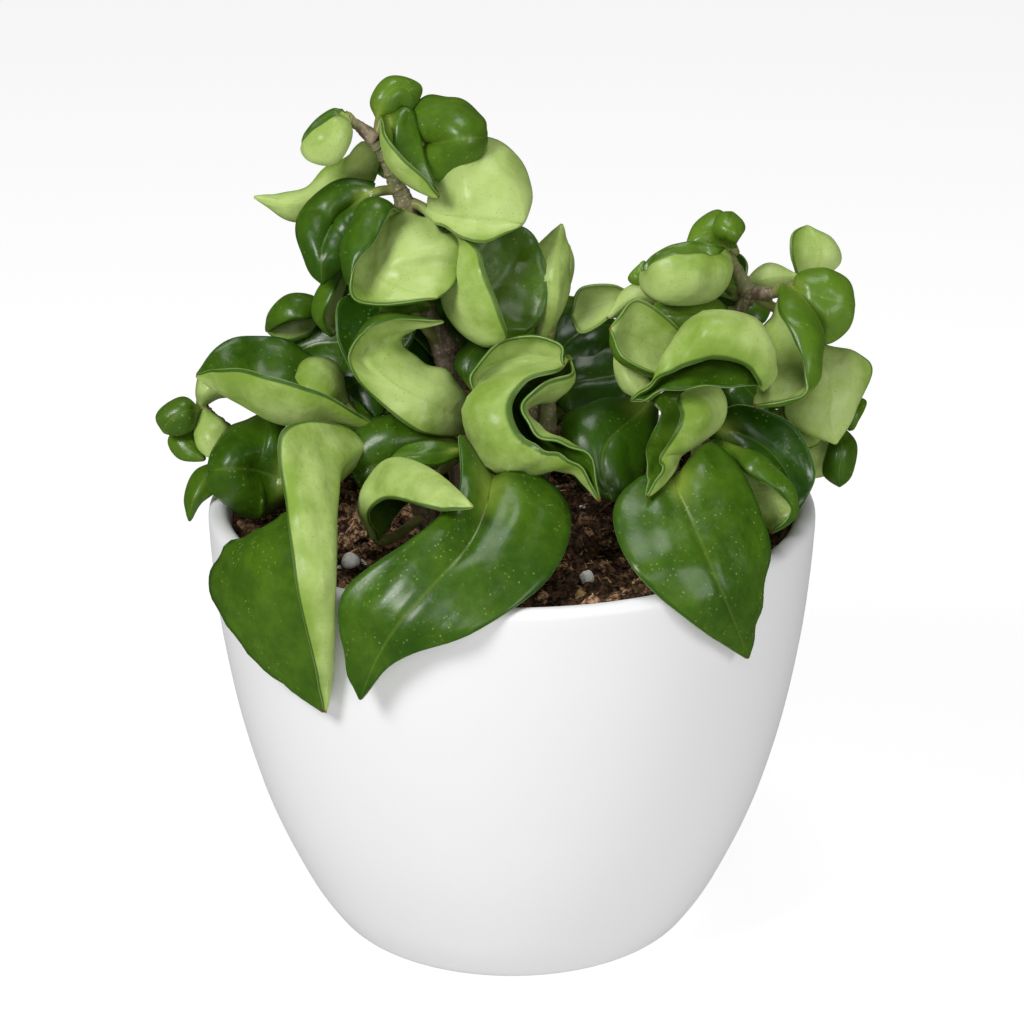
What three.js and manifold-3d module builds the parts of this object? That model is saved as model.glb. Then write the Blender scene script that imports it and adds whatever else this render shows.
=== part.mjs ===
// A compact hindu rope plant in a plain white glazed pot, in millimetres, +Z up.
// The origin is the middle of the pot's underside, and the front of the plant faces -Y.
import * as THREE from 'three';
import { mergeVertices } from 'three/addons/utils/BufferGeometryUtils.js';
import Module from 'manifold-3d';

const wasm = await Module();
wasm.setup();

// Driving dimensions of the pot and the soil
const POT_HEIGHT = 103;
const POT_WIDTH = 140;
const WALL = 5;
const LIP_ROUND = 2.4;
const FLOOR_THICK = 7;
const SOIL_LEVEL = 97;
const SOIL_CROWN = 1.6;
const SOIL_ROUGH = 0.9;
const GAP = 0.3;
const POT_SIDES = 30;
const WELD = 1e-3;

// Outline of the pot: share of the height, share of the greatest radius
const POT_OUTLINE = [
  [0, 0.584], [0.03, 0.624], [0.12, 0.706], [0.3, 0.823],
  [0.5, 0.909], [0.7, 0.964], [0.85, 0.989], [0.96, 1],
];

// Leaves are laid out as they are seen from the front, a little from above:
// across, up the tilted view plane through the pot's axis, and near, towards the viewer.
const VIEW_TILT = THREE.MathUtils.degToRad(20.8);
const VIEW_DISTANCE = 810;
const VIEW_HEIGHT = 99.3;

// Thickness of a leaf blade and size of its stalk
const RIB_HALF = 0.7;
const MARGIN_HALF = 0.36;
const STALK_RADIUS = 1.15;
const STALK_TURN = THREE.MathUtils.degToRad(72);
const BLADE_START = 0.03;
const TIP_END = 0.965;
const STALK_BLEND = 0.2;
const FULL_CURL_WIDTH = 5;
const STEM_SIDES = 6;
const SMALL_STEP = 2e-3;

function place([across, up, near]) {
  const nearer = 1 - near / VIEW_DISTANCE;
  const x = across * nearer;
  const rise = up * nearer;
  const y = rise * Math.sin(VIEW_TILT) - near * Math.cos(VIEW_TILT);
  const z = VIEW_HEIGHT + rise * Math.cos(VIEW_TILT) + near * Math.sin(VIEW_TILT);
  return new THREE.Vector3(x, y, z);
}

function mirrorPoint(centre, point) {
  return centre.clone().multiplyScalar(2).sub(point);
}

// A smooth curve through the points, from 0 to 1, with equal steps between them.
function smoothCurve(points, before, after) {
  const all = [before, ...points, after];
  const spans = points.length - 1;
  return (share) => {
    const along = Math.min(Math.max(share, 0), 1) * spans;
    const span = Math.min(Math.floor(along), spans - 1);
    const t = along - span;
    const [a, b, c, d] = all.slice(span, span + 4);
    const result = new THREE.Vector3();
    for (const axis of ['x', 'y', 'z']) {
      const linear = c[axis] - a[axis];
      const square = 2 * a[axis] - 5 * b[axis] + 4 * c[axis] - d[axis];
      const cube = 3 * b[axis] - a[axis] - 3 * c[axis] + d[axis];
      result[axis] = b[axis] + 0.5 * t * (linear + t * (square + t * cube));
    }
    return result;
  };
}

// Values given at equal steps inside 0 to 1, held level at both ends.
function ramp(values, share) {
  const steps = values.length + 1;
  const along = Math.min(Math.max(share * steps - 1, 0), values.length - 1);
  const low = Math.floor(along);
  const high = Math.min(low + 1, values.length - 1);
  return values[low] + (values[high] - values[low]) * (along - low);
}

// The middle surface of a blade: share runs from base to tip, side from -1 (left) to 1 (right).
function bladeSurface(blade) {
  const { rib, left, right } = blade;
  const tip = rib[rib.length - 1];
  const ribCurve = smoothCurve(rib, mirrorPoint(rib[0], rib[1]), mirrorPoint(tip, rib[rib.length - 2]));
  const rails = [
    smoothCurve([rib[0], ...left, tip], right[0], mirrorPoint(tip, left[left.length - 1])),
    smoothCurve([rib[0], ...right, tip], left[0], mirrorPoint(tip, right[right.length - 1])),
  ];
  const curls = [blade.curlLeft, blade.curlRight];
  return (share, side) => {
    const middle = ribCurve(share);
    const turn = Math.abs(side);
    if (turn === 0) return middle;
    const hand = side > 0 ? 1 : 0;
    const along = ribCurve(share + SMALL_STEP).sub(ribCurve(share - SMALL_STEP)).normalize();
    const chord = rails[hand](share).sub(middle);
    const width = chord.length();
    const outward = chord.clone().normalize();
    const upper = hand ? outward.clone().cross(along) : along.clone().cross(outward);
    upper.normalize();
    const full = Math.min(width / FULL_CURL_WIDTH, 1);
    const curl = THREE.MathUtils.degToRad(ramp(curls[hand], share) * full) || SMALL_STEP;
    const reach = width * Math.sin(curl * turn / 2) / Math.sin(curl / 2);
    const angle = curl * (turn - 1) / 2;
    return middle
      .addScaledVector(outward, reach * Math.cos(angle))
      .addScaledVector(upper, reach * Math.sin(angle));
  };
}

function surfaceNormal(surface, share, side) {
  const step = SMALL_STEP;
  const across = surface(share, Math.min(side + step, 1)).sub(surface(share, Math.max(side - step, -1)));
  const along = surface(Math.min(share + step, 1), side).sub(surface(Math.max(share - step, 0), side));
  return { across: across.normalize(), upper: across.clone().cross(along).normalize() };
}

// Rings of points round the leaf, from the foot of its stalk to its tip, thicker all round by grow.
function leafRings(blade, rows, halfColumns, grow) {
  const surface = bladeSurface(blade);
  const sides = Array.from({ length: 2 * halfColumns + 1 }, (_, i) => i / halfColumns - 1);
  const rings = [];
  const base = blade.rib[0];
  const stalk = [...blade.stalk, base];
  const stalkCurve = smoothCurve(stalk, mirrorPoint(stalk[0], stalk[1]), blade.rib[1]);
  const baseFrame = surfaceNormal(surface, STALK_BLEND / 2, 0);
  const stalkRows = blade.stalk.length;
  for (let i = 0; i < stalkRows; i += 1) {
    const share = i / (stalkRows + 1);
    const centre = stalkCurve(share);
    const along = stalkCurve(share + SMALL_STEP).sub(stalkCurve(share)).normalize();
    const across = baseFrame.across.clone().addScaledVector(along, -baseFrame.across.dot(along)).normalize();
    const upper = across.clone().cross(along).normalize();
    rings.push(sides.map((side) => {
      const angle = side * STALK_TURN;
      const radius = STALK_RADIUS + grow;
      const point = centre.clone().addScaledVector(across, radius * Math.sin(angle));
      return { point, upper, half: radius * Math.cos(angle) };
    }));
  }
  for (let i = 0; i < rows; i += 1) {
    const share = THREE.MathUtils.lerp(BLADE_START, TIP_END, i / (rows - 1));
    const round = 1 - THREE.MathUtils.smoothstep(share, 0, STALK_BLEND);
    rings.push(sides.map((side) => {
      const { across, upper } = surfaceNormal(surface, share, side);
      const angle = side * STALK_TURN;
      const spread = STALK_RADIUS * Math.sin(angle) * round + grow * Math.sign(side) * Math.abs(side) ** 3;
      const point = surface(share, side).addScaledVector(across, spread);
      const thin = RIB_HALF + (MARGIN_HALF - RIB_HALF) * side * side;
      const half = thin + (STALK_RADIUS * Math.cos(angle) - thin) * round + grow;
      return { point, upper, half };
    }));
  }
  if (grow > 0) {
    const ends = [[0, 1], [rings.length - 1, rings.length - 2]];
    for (const [end, inner] of ends) {
      const away = rings[end][halfColumns].point.clone().sub(rings[inner][halfColumns].point).setLength(grow);
      rings[end].forEach((item) => item.point.add(away));
    }
  }
  return rings;
}

// The upper and lower faces are split into triangles alike, so that a waved blade never crosses itself.
function leafGeometry(rings) {
  const columns = rings[0].length;
  const positions = [];
  const faces = [];
  for (const ring of rings) {
    for (const sign of [1, -1]) {
      for (const { point, upper, half } of ring) {
        const corner = point.clone().addScaledVector(upper, sign * half);
        positions.push(corner.x, corner.y, corner.z);
      }
    }
  }
  const at = (row, column, lower) => row * 2 * columns + (lower ? columns : 0) + column;
  for (let row = 0; row < rings.length - 1; row += 1) {
    for (let column = 0; column < columns - 1; column += 1) {
      const top = [at(row, column), at(row, column + 1), at(row + 1, column + 1), at(row + 1, column)];
      faces.push(top[0], top[1], top[2], top[0], top[2], top[3]);
      const under = top.map((index) => index + columns);
      faces.push(under[0], under[2], under[1], under[0], under[3], under[2]);
    }
    for (const [column, flip] of [[0, false], [columns - 1, true]]) {
      const edge = [at(row, column), at(row + 1, column), at(row + 1, column, true), at(row, column, true)];
      const order = flip ? [0, 2, 1, 0, 3, 2] : [0, 1, 2, 0, 2, 3];
      faces.push(...order.map((index) => edge[index]));
    }
  }
  for (const [row, flip] of [[0, false], [rings.length - 1, true]]) {
    for (let column = 0; column < columns - 1; column += 1) {
      const end = [at(row, column), at(row, column, true), at(row, column + 1, true), at(row, column + 1)];
      const order = flip ? [0, 2, 1, 0, 3, 2] : [0, 1, 2, 0, 2, 3];
      faces.push(...order.map((index) => end[index]));
    }
  }
  const geometry = new THREE.BufferGeometry();
  geometry.setAttribute('position', new THREE.Float32BufferAttribute(positions, 3));
  geometry.setIndex(faces);
  return geometry;
}

// A closed solid of a geometry: corners closer than the weld distance become one.
function toSolid(geometry) {
  const plain = geometry.clone();
  plain.deleteAttribute('normal');
  plain.deleteAttribute('uv');
  const merged = mergeVertices(plain, WELD);
  const mesh = new wasm.Mesh({
    numProp: 3,
    vertProperties: new Float32Array(merged.attributes.position.array),
    triVerts: new Uint32Array(merged.index.array),
  });
  return new wasm.Manifold(mesh);
}

function toGeometry(solid) {
  const { vertProperties, triVerts } = solid.getMesh();
  const geometry = new THREE.BufferGeometry();
  geometry.setAttribute('position', new THREE.BufferAttribute(new Float32Array(vertProperties), 3));
  geometry.setIndex(new THREE.BufferAttribute(new Uint32Array(triVerts), 1));
  return geometry;
}

// Rows and columns of a blade, by its length from base to tip, with more columns past the fine curl
const SIZES = [
  { longest: 14, rows: 4, halfColumns: 2, fineColumns: 2 },
  { longest: 27, rows: 5, halfColumns: 2, fineColumns: 2 },
  { longest: 99, rows: 6, halfColumns: 2, fineColumns: 3 },
];
const SHOOT_BLADE = { rows: 4, halfColumns: 2, fineColumns: 2 };
const FINE_CURL = 100;

// Leaves of the shoots: stalk length, droop in degrees, share of lift at the margins, widths along
const SHOOT_STALK = 4;
const SHOOT_DROOP = 70;
const SHOOT_CUP = 0.35;
const WIDTH_SHARES = [0.8, 1, 0.66, 0];

// Steps and spans of the pot and the soil
const FOOT_ROUND = 1.4;
const LIP_SPAN = 8;
const LIP_STEPS = 4;
const OUTER_LEVELS = 7;
const WALL_LEVELS = 3;
const HEIGHT_HALVINGS = 30;
const SOIL_RINGS = 3;
const SOIL_EDGE_DROP = 1;

// Lumps of the soil: waves per millimetre across, back and slanting, and the share of the slanting one
const LUMP_ACROSS = 0.55;
const LUMP_BACK = 0.48;
const LUMP_SLANT_ACROSS = 1.05;
const LUMP_SLANT_BACK = -0.8;
const LUMP_SLANT_SHARE = 0.6;

// Lumps of a loose grain, its height share and how far its middle stands out
const GRAIN_DETAIL = 1;
const GRAIN_LUMP = 0.14;
const GRAIN_WAVES = 3;
const GRAIN_FLATNESS = 0.85;
const GRAIN_STAND = 0.34;

// Loose grains on the soil: x, y and size
const GRAINS = {
  perlite_front: { place: [16.5, -41, 3.4], pale: true },
  perlite_left: { place: [-35.9, -33.5, 4], pale: true },
  bark_front: { place: [15, -50, 2.8], pale: false },
};

// A cut smaller than this many cubic millimetres is left undone
const LEAST_CUT = 1e-4;

// Each stem with its side arms
const STEM_STEPS = 2;
const STEM_NODES = {
  tall_stem: ['tall', 'tall_fork'],
  right_stem: ['right', 'right_arm', 'right_low'],
  left_stem: ['left'],
  low_left_stem: ['low_left'],
  centre_stem: ['centre'],
  low_right_stem: ['low_right'],
};

// Leafy shoots at the back, in the part's own frame. Each leaf: place along the stem, heading round
// the plant in degrees (90 is straight back), climb, length, width and curl of its margins.
const SHOOTS = {
  back_left_shoot: {
    stem: [[-24, 19, 90, 2.4], [-26, 25, 108, 2.2], [-28, 32, 126, 1.9], [-26, 38, 143, 1.5]],
    leaves: [
      [0.3, 195, 45, 26, 22, 120], [0.42, 115, 35, 30, 24, 60], [0.58, 15, 45, 24, 21, 130],
      [0.75, 165, 40, 25, 21, 130], [0.85, 75, 40, 25, 21, 120], [1, 120, 60, 21, 18, -130],
    ],
  },
  back_middle_shoot: {
    stem: [[6, 19, 90, 2.4], [6, 23, 104, 2.2], [4, 30, 118, 1.9], [5, 34, 130, 1.5]],
    leaves: [
      [0.45, 75, 35, 32, 26, 40], [0.5, 150, 35, 24, 21, 130], [0.6, -25, 35, 23, 20, 120],
      [0.85, 110, 35, 26, 22, 150], [1, 50, 40, 22, 19, -120],
    ],
  },
  back_right_shoot: {
    stem: [[36, 20, 90, 2.3], [38, 25, 105, 2.1], [42, 32, 121, 1.8], [44, 36, 132, 1.4]],
    leaves: [
      [0.5, 55, 40, 31, 25, 60], [0.6, 130, 40, 24, 20, 130], [0.7, -5, 35, 22, 20, 140],
      [0.85, 100, 40, 24, 20, 120], [1, 30, 50, 19, 17, -130],
    ],
  },
};

// Small leaves behind the tall and the right stem, fused into the stem they grow from
const REAR_LEAVES = {
  tall_stem: [
    [0.27, 100, 95, 25, 21, 60], [0.36, 95, 85, 24, 20, 60],
    [0.58, 65, 25, 24, 21, 140], [0.74, 85, 30, 22, 19, 140],
  ],
  right_stem: [[0.2, 25, 75, 27, 22, 50], [0.45, 120, 30, 24, 20, 140], [0.66, 130, 30, 22, 19, 130]],
};
const STEMS = {
  tall: [[-10, -20, -2, 3.3], [-11, 0, 4, 3.2], [-12.5, 20, 9.5, 3], [-15, 36, 15, 3.1],
    [-20, 47, 19, 2.1], [-24.5, 70, 27, 2.2], [-27, 76, 29, 1.7], [-29, 82, 31, 1.7],
    [-31.5, 86, 32.5, 1.9]],
  tall_fork: [[-31.5, 86, 32.5, 2], [-35, 89, 33, 1.3], [-38.3, 91.3, 33, 1]],
  right: [[38, -16, -11.6, 2.6], [41, 0, -5, 2.4], [45, 20, 4, 2.2], [50, 38, 12, 1.8],
    [53, 47, 16, 1.5], [54.5, 50.5, 17, 2], [52, 56, 19, 1.4], [50, 60, 20.5, 1.1]],
  right_arm: [[54.5, 50.5, 17, 1.8], [61, 50.8, 19, 1.3], [65, 51.8, 20, 1]],
  left: [[-40, -16, -10, 3], [-46, 0, -8, 2.6], [-56, 12, -6, 2.2], [-65, 18, -3, 1.8],
    [-70, 22, 0, 1.6], [-72, 24.5, 1, 1.4]],
  low_left: [[-18, -22, 4.3, 3], [-19, -8, 9, 2.8], [-22, 6, 18, 2.4], [-27, 15, 25, 2],
    [-31, 18.5, 27, 1.8]],
  centre: [[4, -21.6, 2.5, 3], [5, -8, 8, 2.8], [6, 6, 15, 2.4], [8, 18, 19, 2.2], [8, 28, 21, 2]],
  low_right: [[40, -23.4, 7, 3], [40, -10, 12, 2.8], [41, 2, 20, 2.4], [43, 12, 26, 2]],
  right_low: [[47.3, 28, 7, 1.6], [58, 26, 5, 1.5], [68, 24, 6, 1.4], [74, 22.5, 7.5, 1.2]],
};

const LEAVES = {
  crown_ring_leaf: [
    {
      stalk: [[-30.3, 84.5, 31.5], [-26.5, 86, 28.5]],
      rib: [[-22.5, 87, 28], [-20, 85.8, 26.5], [-16.5, 85.3, 33], [-12.5, 86, 38.5],
        [-8.5, 86.5, 37.5], [-5.9, 87, 31.5]],
      left: [[-24.5, 92.5, 28], [-19.5, 96, 27.5], [-12.8, 95.6, 28], [-7.3, 91, 29]],
      right: [[-20.3, 81.5, 30], [-17, 76.8, 31], [-11, 79.8, 30.5], [-7, 82.7, 30]],
      curlLeft: [-150, -125, -75, -40],
      curlRight: [-160, -125, -75, -40],
    },
  ],
  crown_fold_leaf: [
    {
      stalk: [[-31.3, 87, 32.7]],
      rib: [[-29.3, 91.5, 33], [-27.2, 86, 34.5], [-27.8, 80.5, 36.5], [-23.5, 76, 38],
        [-16.7, 72.8, 40]],
      left: [[-24.2, 93.6, 33], [-21.7, 88, 33], [-19.9, 80.2, 36]],
      right: [[-29.6, 88.3, 41], [-26.3, 82.8, 43.5], [-20.9, 77.8, 42.5]],
      curlLeft: [-50, -40, 0],
      curlRight: [80, 90, 60],
    },
  ],
  crown_bud: [
    {
      stalk: [[-31.2, 86.5, 32.5]],
      rib: [[-30.5, 91.5, 32], [-30, 95, 35], [-27, 98, 34.5], [-23.5, 97, 32], [-22.3, 94, 29.5]],
      left: [[-32.4, 95, 31], [-28.5, 99.8, 29.5], [-21.5, 98.6, 28]],
      right: [[-27.5, 92.5, 33], [-26, 93.5, 32], [-24.3, 92.8, 31]],
      curlLeft: [-90],
      curlRight: [-60],
    },
  ],
  fork_cup_leaf: [
    {
      stalk: [[-37, 90.5, 33]],
      rib: [[-38.5, 91.5, 33], [-38, 86, 36], [-41, 80.8, 37], [-46, 81.5, 37], [-48.8, 84.5, 36]],
      left: [[-41.5, 91, 38.5], [-45, 89, 39], [-47.5, 86.5, 38]],
      right: [[-41, 93.2, 33], [-45, 90.8, 33], [-48, 87.3, 34]],
      curlLeft: [120, 120, 80],
      curlRight: [40],
    },
  ],
  saddle_leaf: [
    {
      stalk: [[-24.7, 70.5, 27.3]],
      rib: [[-25.5, 69, 29.5], [-29.3, 65.5, 33.5], [-31, 60, 35.5], [-31, 54.5, 38], [-26, 51.5, 41],
        [-17.3, 49.4, 42.5]],
      left: [[-28.3, 70, 41], [-32.3, 62.5, 45], [-37, 56, 46.5], [-35, 48.4, 46]],
      right: [[-21, 68, 31], [-13.7, 63.5, 32], [-11.1, 57.8, 34], [-13.7, 52.5, 38]],
      curlLeft: [-230, -215, -165, -50],
      curlRight: [100, 110, 100, 60],
    },
  ],
  left_cup_leaf: [
    {
      stalk: [[-26.3, 74.5, 28.5], [-29, 74.5, 29.5]],
      rib: [[-32, 73.8, 31], [-36.5, 71, 28.5], [-41, 67, 30.5], [-43.5, 62, 35], [-44, 57, 36.5],
        [-43.8, 52.6, 34]],
      left: [[-35, 68, 32], [-37, 64.5, 33], [-38, 60, 34], [-40, 56, 35]],
      right: [[-37.5, 77, 29], [-46.3, 73, 29], [-49.7, 64.5, 30.5], [-47.8, 57.5, 33]],
      curlLeft: [-100, -100, -60, -30],
      curlRight: [-130, -120, -70, -40],
    },
  ],
  long_tip_leaf: [
    {
      stalk: [[-30, 83, 31]],
      rib: [[-31, 84, 27], [-36, 79, 26], [-43, 74, 25], [-51, 71, 25], [-60, 73, 24]],
      left: [[-35, 84.8, 22], [-42, 79.5, 21], [-50, 74.2, 22]],
      right: [[-33, 75, 22], [-41, 70, 21], [-50, 67.3, 22]],
      curlLeft: [60],
      curlRight: [60],
    },
  ],
  broad_pale_leaf: [
    {
      stalk: [[-25, 71, 27.5], [-22, 71.2, 28.5]],
      rib: [[-19, 69.5, 30], [-14, 68.3, 33.5], [-9, 67.3, 35.5], [-4, 66.8, 36.3], [0, 66.6, 36],
        [2.8, 66.6, 35]],
      left: [[-15, 65.9, 35], [-10.5, 63.4, 37.5], [-6, 62.7, 38.3], [-1, 64.7, 37.3]],
      right: [[-18, 77, 27], [-12, 85.5, 25], [-2, 84.9, 25], [4.4, 75.5, 27.5]],
      curlLeft: [10],
      curlRight: [60, 90, 90, 70],
    },
  ],
  shell_leaf: [
    {
      stalk: [[-14.7, 35, 14.8], [-8, 36.5, 18]],
      rib: [[-2, 39.5, 24], [-10, 41, 27.5], [-15.8, 48, 27.5], [-14, 58, 26.5], [-15, 65, 28]],
      left: [[-1.5, 42, 38], [-5.2, 52, 41], [-8.5, 61, 38]],
      right: [[6, 44, 24], [8, 55, 24], [2, 66.2, 24]],
      curlLeft: [70, 80, 60],
      curlRight: [50, 60, 40],
    },
  ],
  tucked_leaf: [
    {
      stalk: [[-20.3, 48, 19.3]],
      rib: [[-20, 48, 26], [-24, 49.5, 29], [-28.5, 48.5, 29], [-30.5, 46.5, 28]],
      left: [[-23.5, 46.4, 28], [-28, 45.8, 28]],
      right: [[-24, 51, 27], [-29, 50.5, 27]],
      curlLeft: [-50],
      curlRight: [-50],
    },
  ],
  hook_leaf: [
    {
      stalk: [[-12.6, 19.5, 9.6], [-10.5, 20, 17]],
      rib: [[-9, 21, 24], [-18, 24.5, 35], [-28, 29.5, 38], [-33.5, 35.5, 37], [-29.5, 41.5, 36],
        [-15.5, 44.2, 38]],
      left: [[-14, 31, 28], [-21, 34.5, 30], [-25, 38.5, 31], [-23.5, 42, 33]],
      right: [[-20, 18.3, 36], [-33, 28, 39], [-38.2, 36.3, 41], [-30, 44, 43]],
      curlLeft: [60, 60, 40, 10],
      curlRight: [30, 10, -40, -130],
    },
  ],
  shade_leaf: [
    {
      stalk: [[-15.9, 38, 15.6], [-20.8, 43.5, 22]],
      rib: [[-26, 50, 22], [-31.5, 45.5, 27], [-34, 39.5, 29], [-37, 32, 31]],
      left: [[-22.7, 42, 23], [-28, 35, 25.5]],
      right: [[-38.8, 49.5, 28], [-40.3, 41.5, 31]],
      curlLeft: [30],
      curlRight: [30],
    },
  ],
  deep_left_leaf: [
    {
      stalk: [[-15.8, 37, 14.2], [-20, 39, 9.5]],
      rib: [[-25, 38, 7], [-31.5, 38.7, 9.5], [-38.5, 39, 10.5], [-45.5, 38.3, 9.5], [-52, 35.5, 7.5]],
      left: [[-29, 31.5, 10], [-38, 31.5, 11.5], [-46.5, 31.5, 11]],
      right: [[-29.5, 43.5, 6.5], [-38.5, 45.5, 7], [-47.5, 44, 5.5]],
      curlLeft: [-50],
      curlRight: [-60],
    },
  ],
  low_shade_leaf: [
    {
      stalk: [[-14.4, 30.5, 12.3], [-23, 31, 10]],
      rib: [[-27, 30, 14], [-33, 30.5, 16.5], [-38.5, 28.5, 16.5], [-41.5, 25, 15]],
      left: [[-31, 22, 19.5], [-37, 21.5, 17.5]],
      right: [[-33, 36, 14.5], [-39, 34.5, 14]],
      curlLeft: [-40],
      curlRight: [-60],
    },
  ],
  hood_leaf: [
    {
      stalk: [[-22.3, 56, 22.5], [-30, 58, 19]],
      rib: [[-38.5, 57, 18], [-42.3, 54, 22.5], [-45.5, 49.3, 24], [-45.5, 44.7, 24.5],
        [-41.5, 40.6, 24]],
      left: [[-40.3, 53, 27.5], [-42.2, 49, 29], [-43.5, 45, 27.5]],
      right: [[-38, 53, 21], [-39.5, 48, 21], [-40, 43.5, 22]],
      curlLeft: [-50],
      curlRight: [-60],
    },
    {
      stalk: [[-34, 57.5, 19], [-39, 51, 11]],
      rib: [[-43, 47, 9], [-47, 50, 12], [-52, 50, 13], [-56, 46, 12.5], [-56.7, 41.6, 11]],
      left: [[-46.5, 45, 16], [-50.5, 44.8, 17.5], [-54, 43.3, 15]],
      right: [[-46, 42, 10], [-50, 40, 10], [-53.5, 39.8, 10.5]],
      curlLeft: [-60],
      curlRight: [-60],
    },
  ],
  upright_leaf: [
    {
      stalk: [[7.8, 22, 20], [10.5, 32, 17]],
      rib: [[7, 40, 20], [9.8, 48, 24], [10.2, 57, 24], [11.5, 66.8, 20]],
      left: [[12, 49, 19], [12.9, 59, 18]],
      right: [[5, 50, 19], [5, 59, 18]],
      curlLeft: [50],
      curlRight: [50],
    },
    {
      stalk: [[8.5, 40, 20.5]],
      rib: [[10, 46, 18], [12, 52.5, 17], [12.9, 57.5, 16.5], [12.9, 62.2, 16.5]],
      left: [[13.6, 53.5, 15], [14.2, 58, 15]],
      right: [[10.8, 53, 15], [11.2, 59, 15]],
      curlLeft: [-50],
      curlRight: [-30],
    },
  ],
  curled_tip_leaf: [
    {
      stalk: [[-20, -0.5, 12.5], [-27, -5.5, 24.5]],
      rib: [[-31.5, -6, 36], [-35, 2, 41], [-29, 11.7, 43.5], [-20, 10, 52], [-8.9, 0.9, 66]],
      left: [[-33, 0.3, 48], [-28, 3.3, 53], [-17.5, 0.8, 63]],
      right: [[-29.5, -4, 32.5], [-25.5, 1, 32], [-18.5, 5.5, 52]],
      curlLeft: [40, 50, 40],
      curlRight: [40, 50, 30],
    },
  ],
  arm_leaf: [
    {
      stalk: [[-22.3, 7, 18.7], [-16, 10, 28]],
      rib: [[-12, 14, 36], [-17.5, 13.5, 39], [-23, 12.8, 41], [-28, 12.5, 40]],
      left: [[-17, 11, 40], [-22.5, 11.3, 42]],
      right: [[-18, 16.2, 38], [-24, 15.5, 38]],
      curlLeft: [30],
      curlRight: [30],
    },
  ],
  bean_leaf: [
    {
      stalk: [[-12.3, 14, 8], [-11.5, 15, 18]],
      rib: [[-13, 15.5, 27], [-20, 14.5, 31.5], [-27, 11.5, 33], [-33, 10.3, 34], [-36.5, 8, 32]],
      left: [[-20, 11, 30], [-28, 7.5, 31], [-33.3, 5.5, 32]],
      right: [[-20, 20.8, 27], [-28, 22, 27], [-36.3, 17, 28]],
      curlLeft: [-100, -110, -80],
      curlRight: [-130, -165, -140],
    },
  ],
  folded_hanging_leaf: [
    {
      stalk: [[-26, 14.5, 24], [-30, 13, 30]],
      rib: [[-35, 15, 34], [-39.5, 11, 44], [-40, 3, 52], [-40.2, -10, 58], [-40.6, -23, 58.5],
        [-41.5, -36, 53], [-43.3, -46.8, 46]],
      left: [[-44, 20.6, 42], [-53.6, 17.5, 52], [-51.9, 0, 60], [-49.3, -19, 63], [-45.3, -36, 55]],
      right: [[-41, 6, 38], [-50, 0, 40], [-66, -8.5, 34], [-69.3, -19, 32], [-59, -34.3, 38]],
      curlLeft: [-20, 10, 70, 60, 30],
      curlRight: [-20, -30, -40, -40, -20],
    },
  ],
  boat_leaf: [
    {
      stalk: [[-30.5, 18.3, 26.9]],
      rib: [[-32, 20, 28], [-42, 21.5, 30], [-53, 20.5, 29], [-63, 25.5, 27], [-73.3, 31.7, 26]],
      left: [[-40, 25.3, 37], [-52, 30, 41], [-65, 33, 36]],
      right: [[-42, 32, 17], [-53, 39.8, 14], [-66, 39.3, 16]],
      curlLeft: [60, 70, 40],
      curlRight: [50, 60, 40],
    },
    {
      stalk: [[-35.5, 21, 27.5]],
      rib: [[-39, 25.5, 24], [-40.5, 30, 27.5], [-44, 33, 29], [-50.3, 31, 28]],
      left: [[-41.5, 34.5, 23], [-47.5, 35.3, 24]],
      right: [[-43, 26, 31], [-48, 28, 31.5]],
      curlLeft: [60],
      curlRight: [40],
    },
  ],
  round_cup_leaf: [
    {
      stalk: [[-50.5, 5.5, -7], [-47, 8, 4]],
      rib: [[-50, 8, 15], [-54.5, 8.3, 13.5], [-59.5, 9.5, 14.5], [-64, 10, 19], [-67.5, 9.8, 18.5],
        [-70, 9, 12.5]],
      left: [[-54.5, 0.8, 9], [-59, -1.4, 9], [-65, 1, 10], [-69, 4.7, 11]],
      right: [[-52.5, 19.5, 9], [-58, 22, 8.5], [-64.3, 20, 9.5], [-68.7, 15, 10.5]],
      curlLeft: [-120, -130, -80, -50],
      curlRight: [-140, -150, -90, -50],
    },
  ],
  rim_side_leaf: [
    {
      stalk: [[-60, 15, -4.8], [-64, 13, -2]],
      rib: [[-67, 11, 1], [-70, 9, 4], [-73, 4, 6], [-74.7, -2.2, 5]],
      left: [[-68.5, 5.5, 4], [-72, 2.3, 5]],
      right: [[-73, 9.5, 2], [-75.6, 3, 3]],
      curlLeft: [-20],
      curlRight: [-20],
    },
  ],
  left_tip_buds: [
    {
      stalk: [[-71, 23.8, 0.4]],
      rib: [[-73, 23.5, 2], [-75.5, 23.3, 7], [-79, 21.3, 7], [-80.5, 18.3, 5]],
      left: [[-74, 19.5, 5], [-77.5, 17.8, 5]],
      right: [[-76.5, 26.3, 3], [-81.8, 22.5, 3]],
      curlLeft: [-50],
      curlRight: [-80],
    },
    {
      stalk: [[-71, 23.8, 0.4]],
      rib: [[-74, 21, -1], [-76.5, 17, 2], [-74.5, 13.5, 3], [-71, 12, 3]],
      left: [[-73, 18, 1], [-72, 15, 2]],
      right: [[-79.3, 17, 0], [-77, 12.6, 1]],
      curlLeft: [-20],
      curlRight: [-40],
    },
    {
      stalk: [[-71, 23.8, 0.4]],
      rib: [[-71, 23, 1.5], [-70, 19, 6], [-69, 15.5, 7], [-69.5, 12.3, 6]],
      left: [[-73.4, 19, 4], [-72.6, 14.8, 5]],
      right: [[-66, 19.7, 3], [-66, 15, 4]],
      curlLeft: [60],
      curlRight: [60],
    },
    {
      stalk: [[-71, 23.8, 0.4]],
      rib: [[-71.8, 25, 1], [-70.5, 28, 4], [-66, 31, 3], [-60, 35, -2]],
      left: [[-68, 26.5, 1], [-62, 28, 0]],
      right: [[-73, 29, 1], [-70, 34, 0]],
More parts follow.
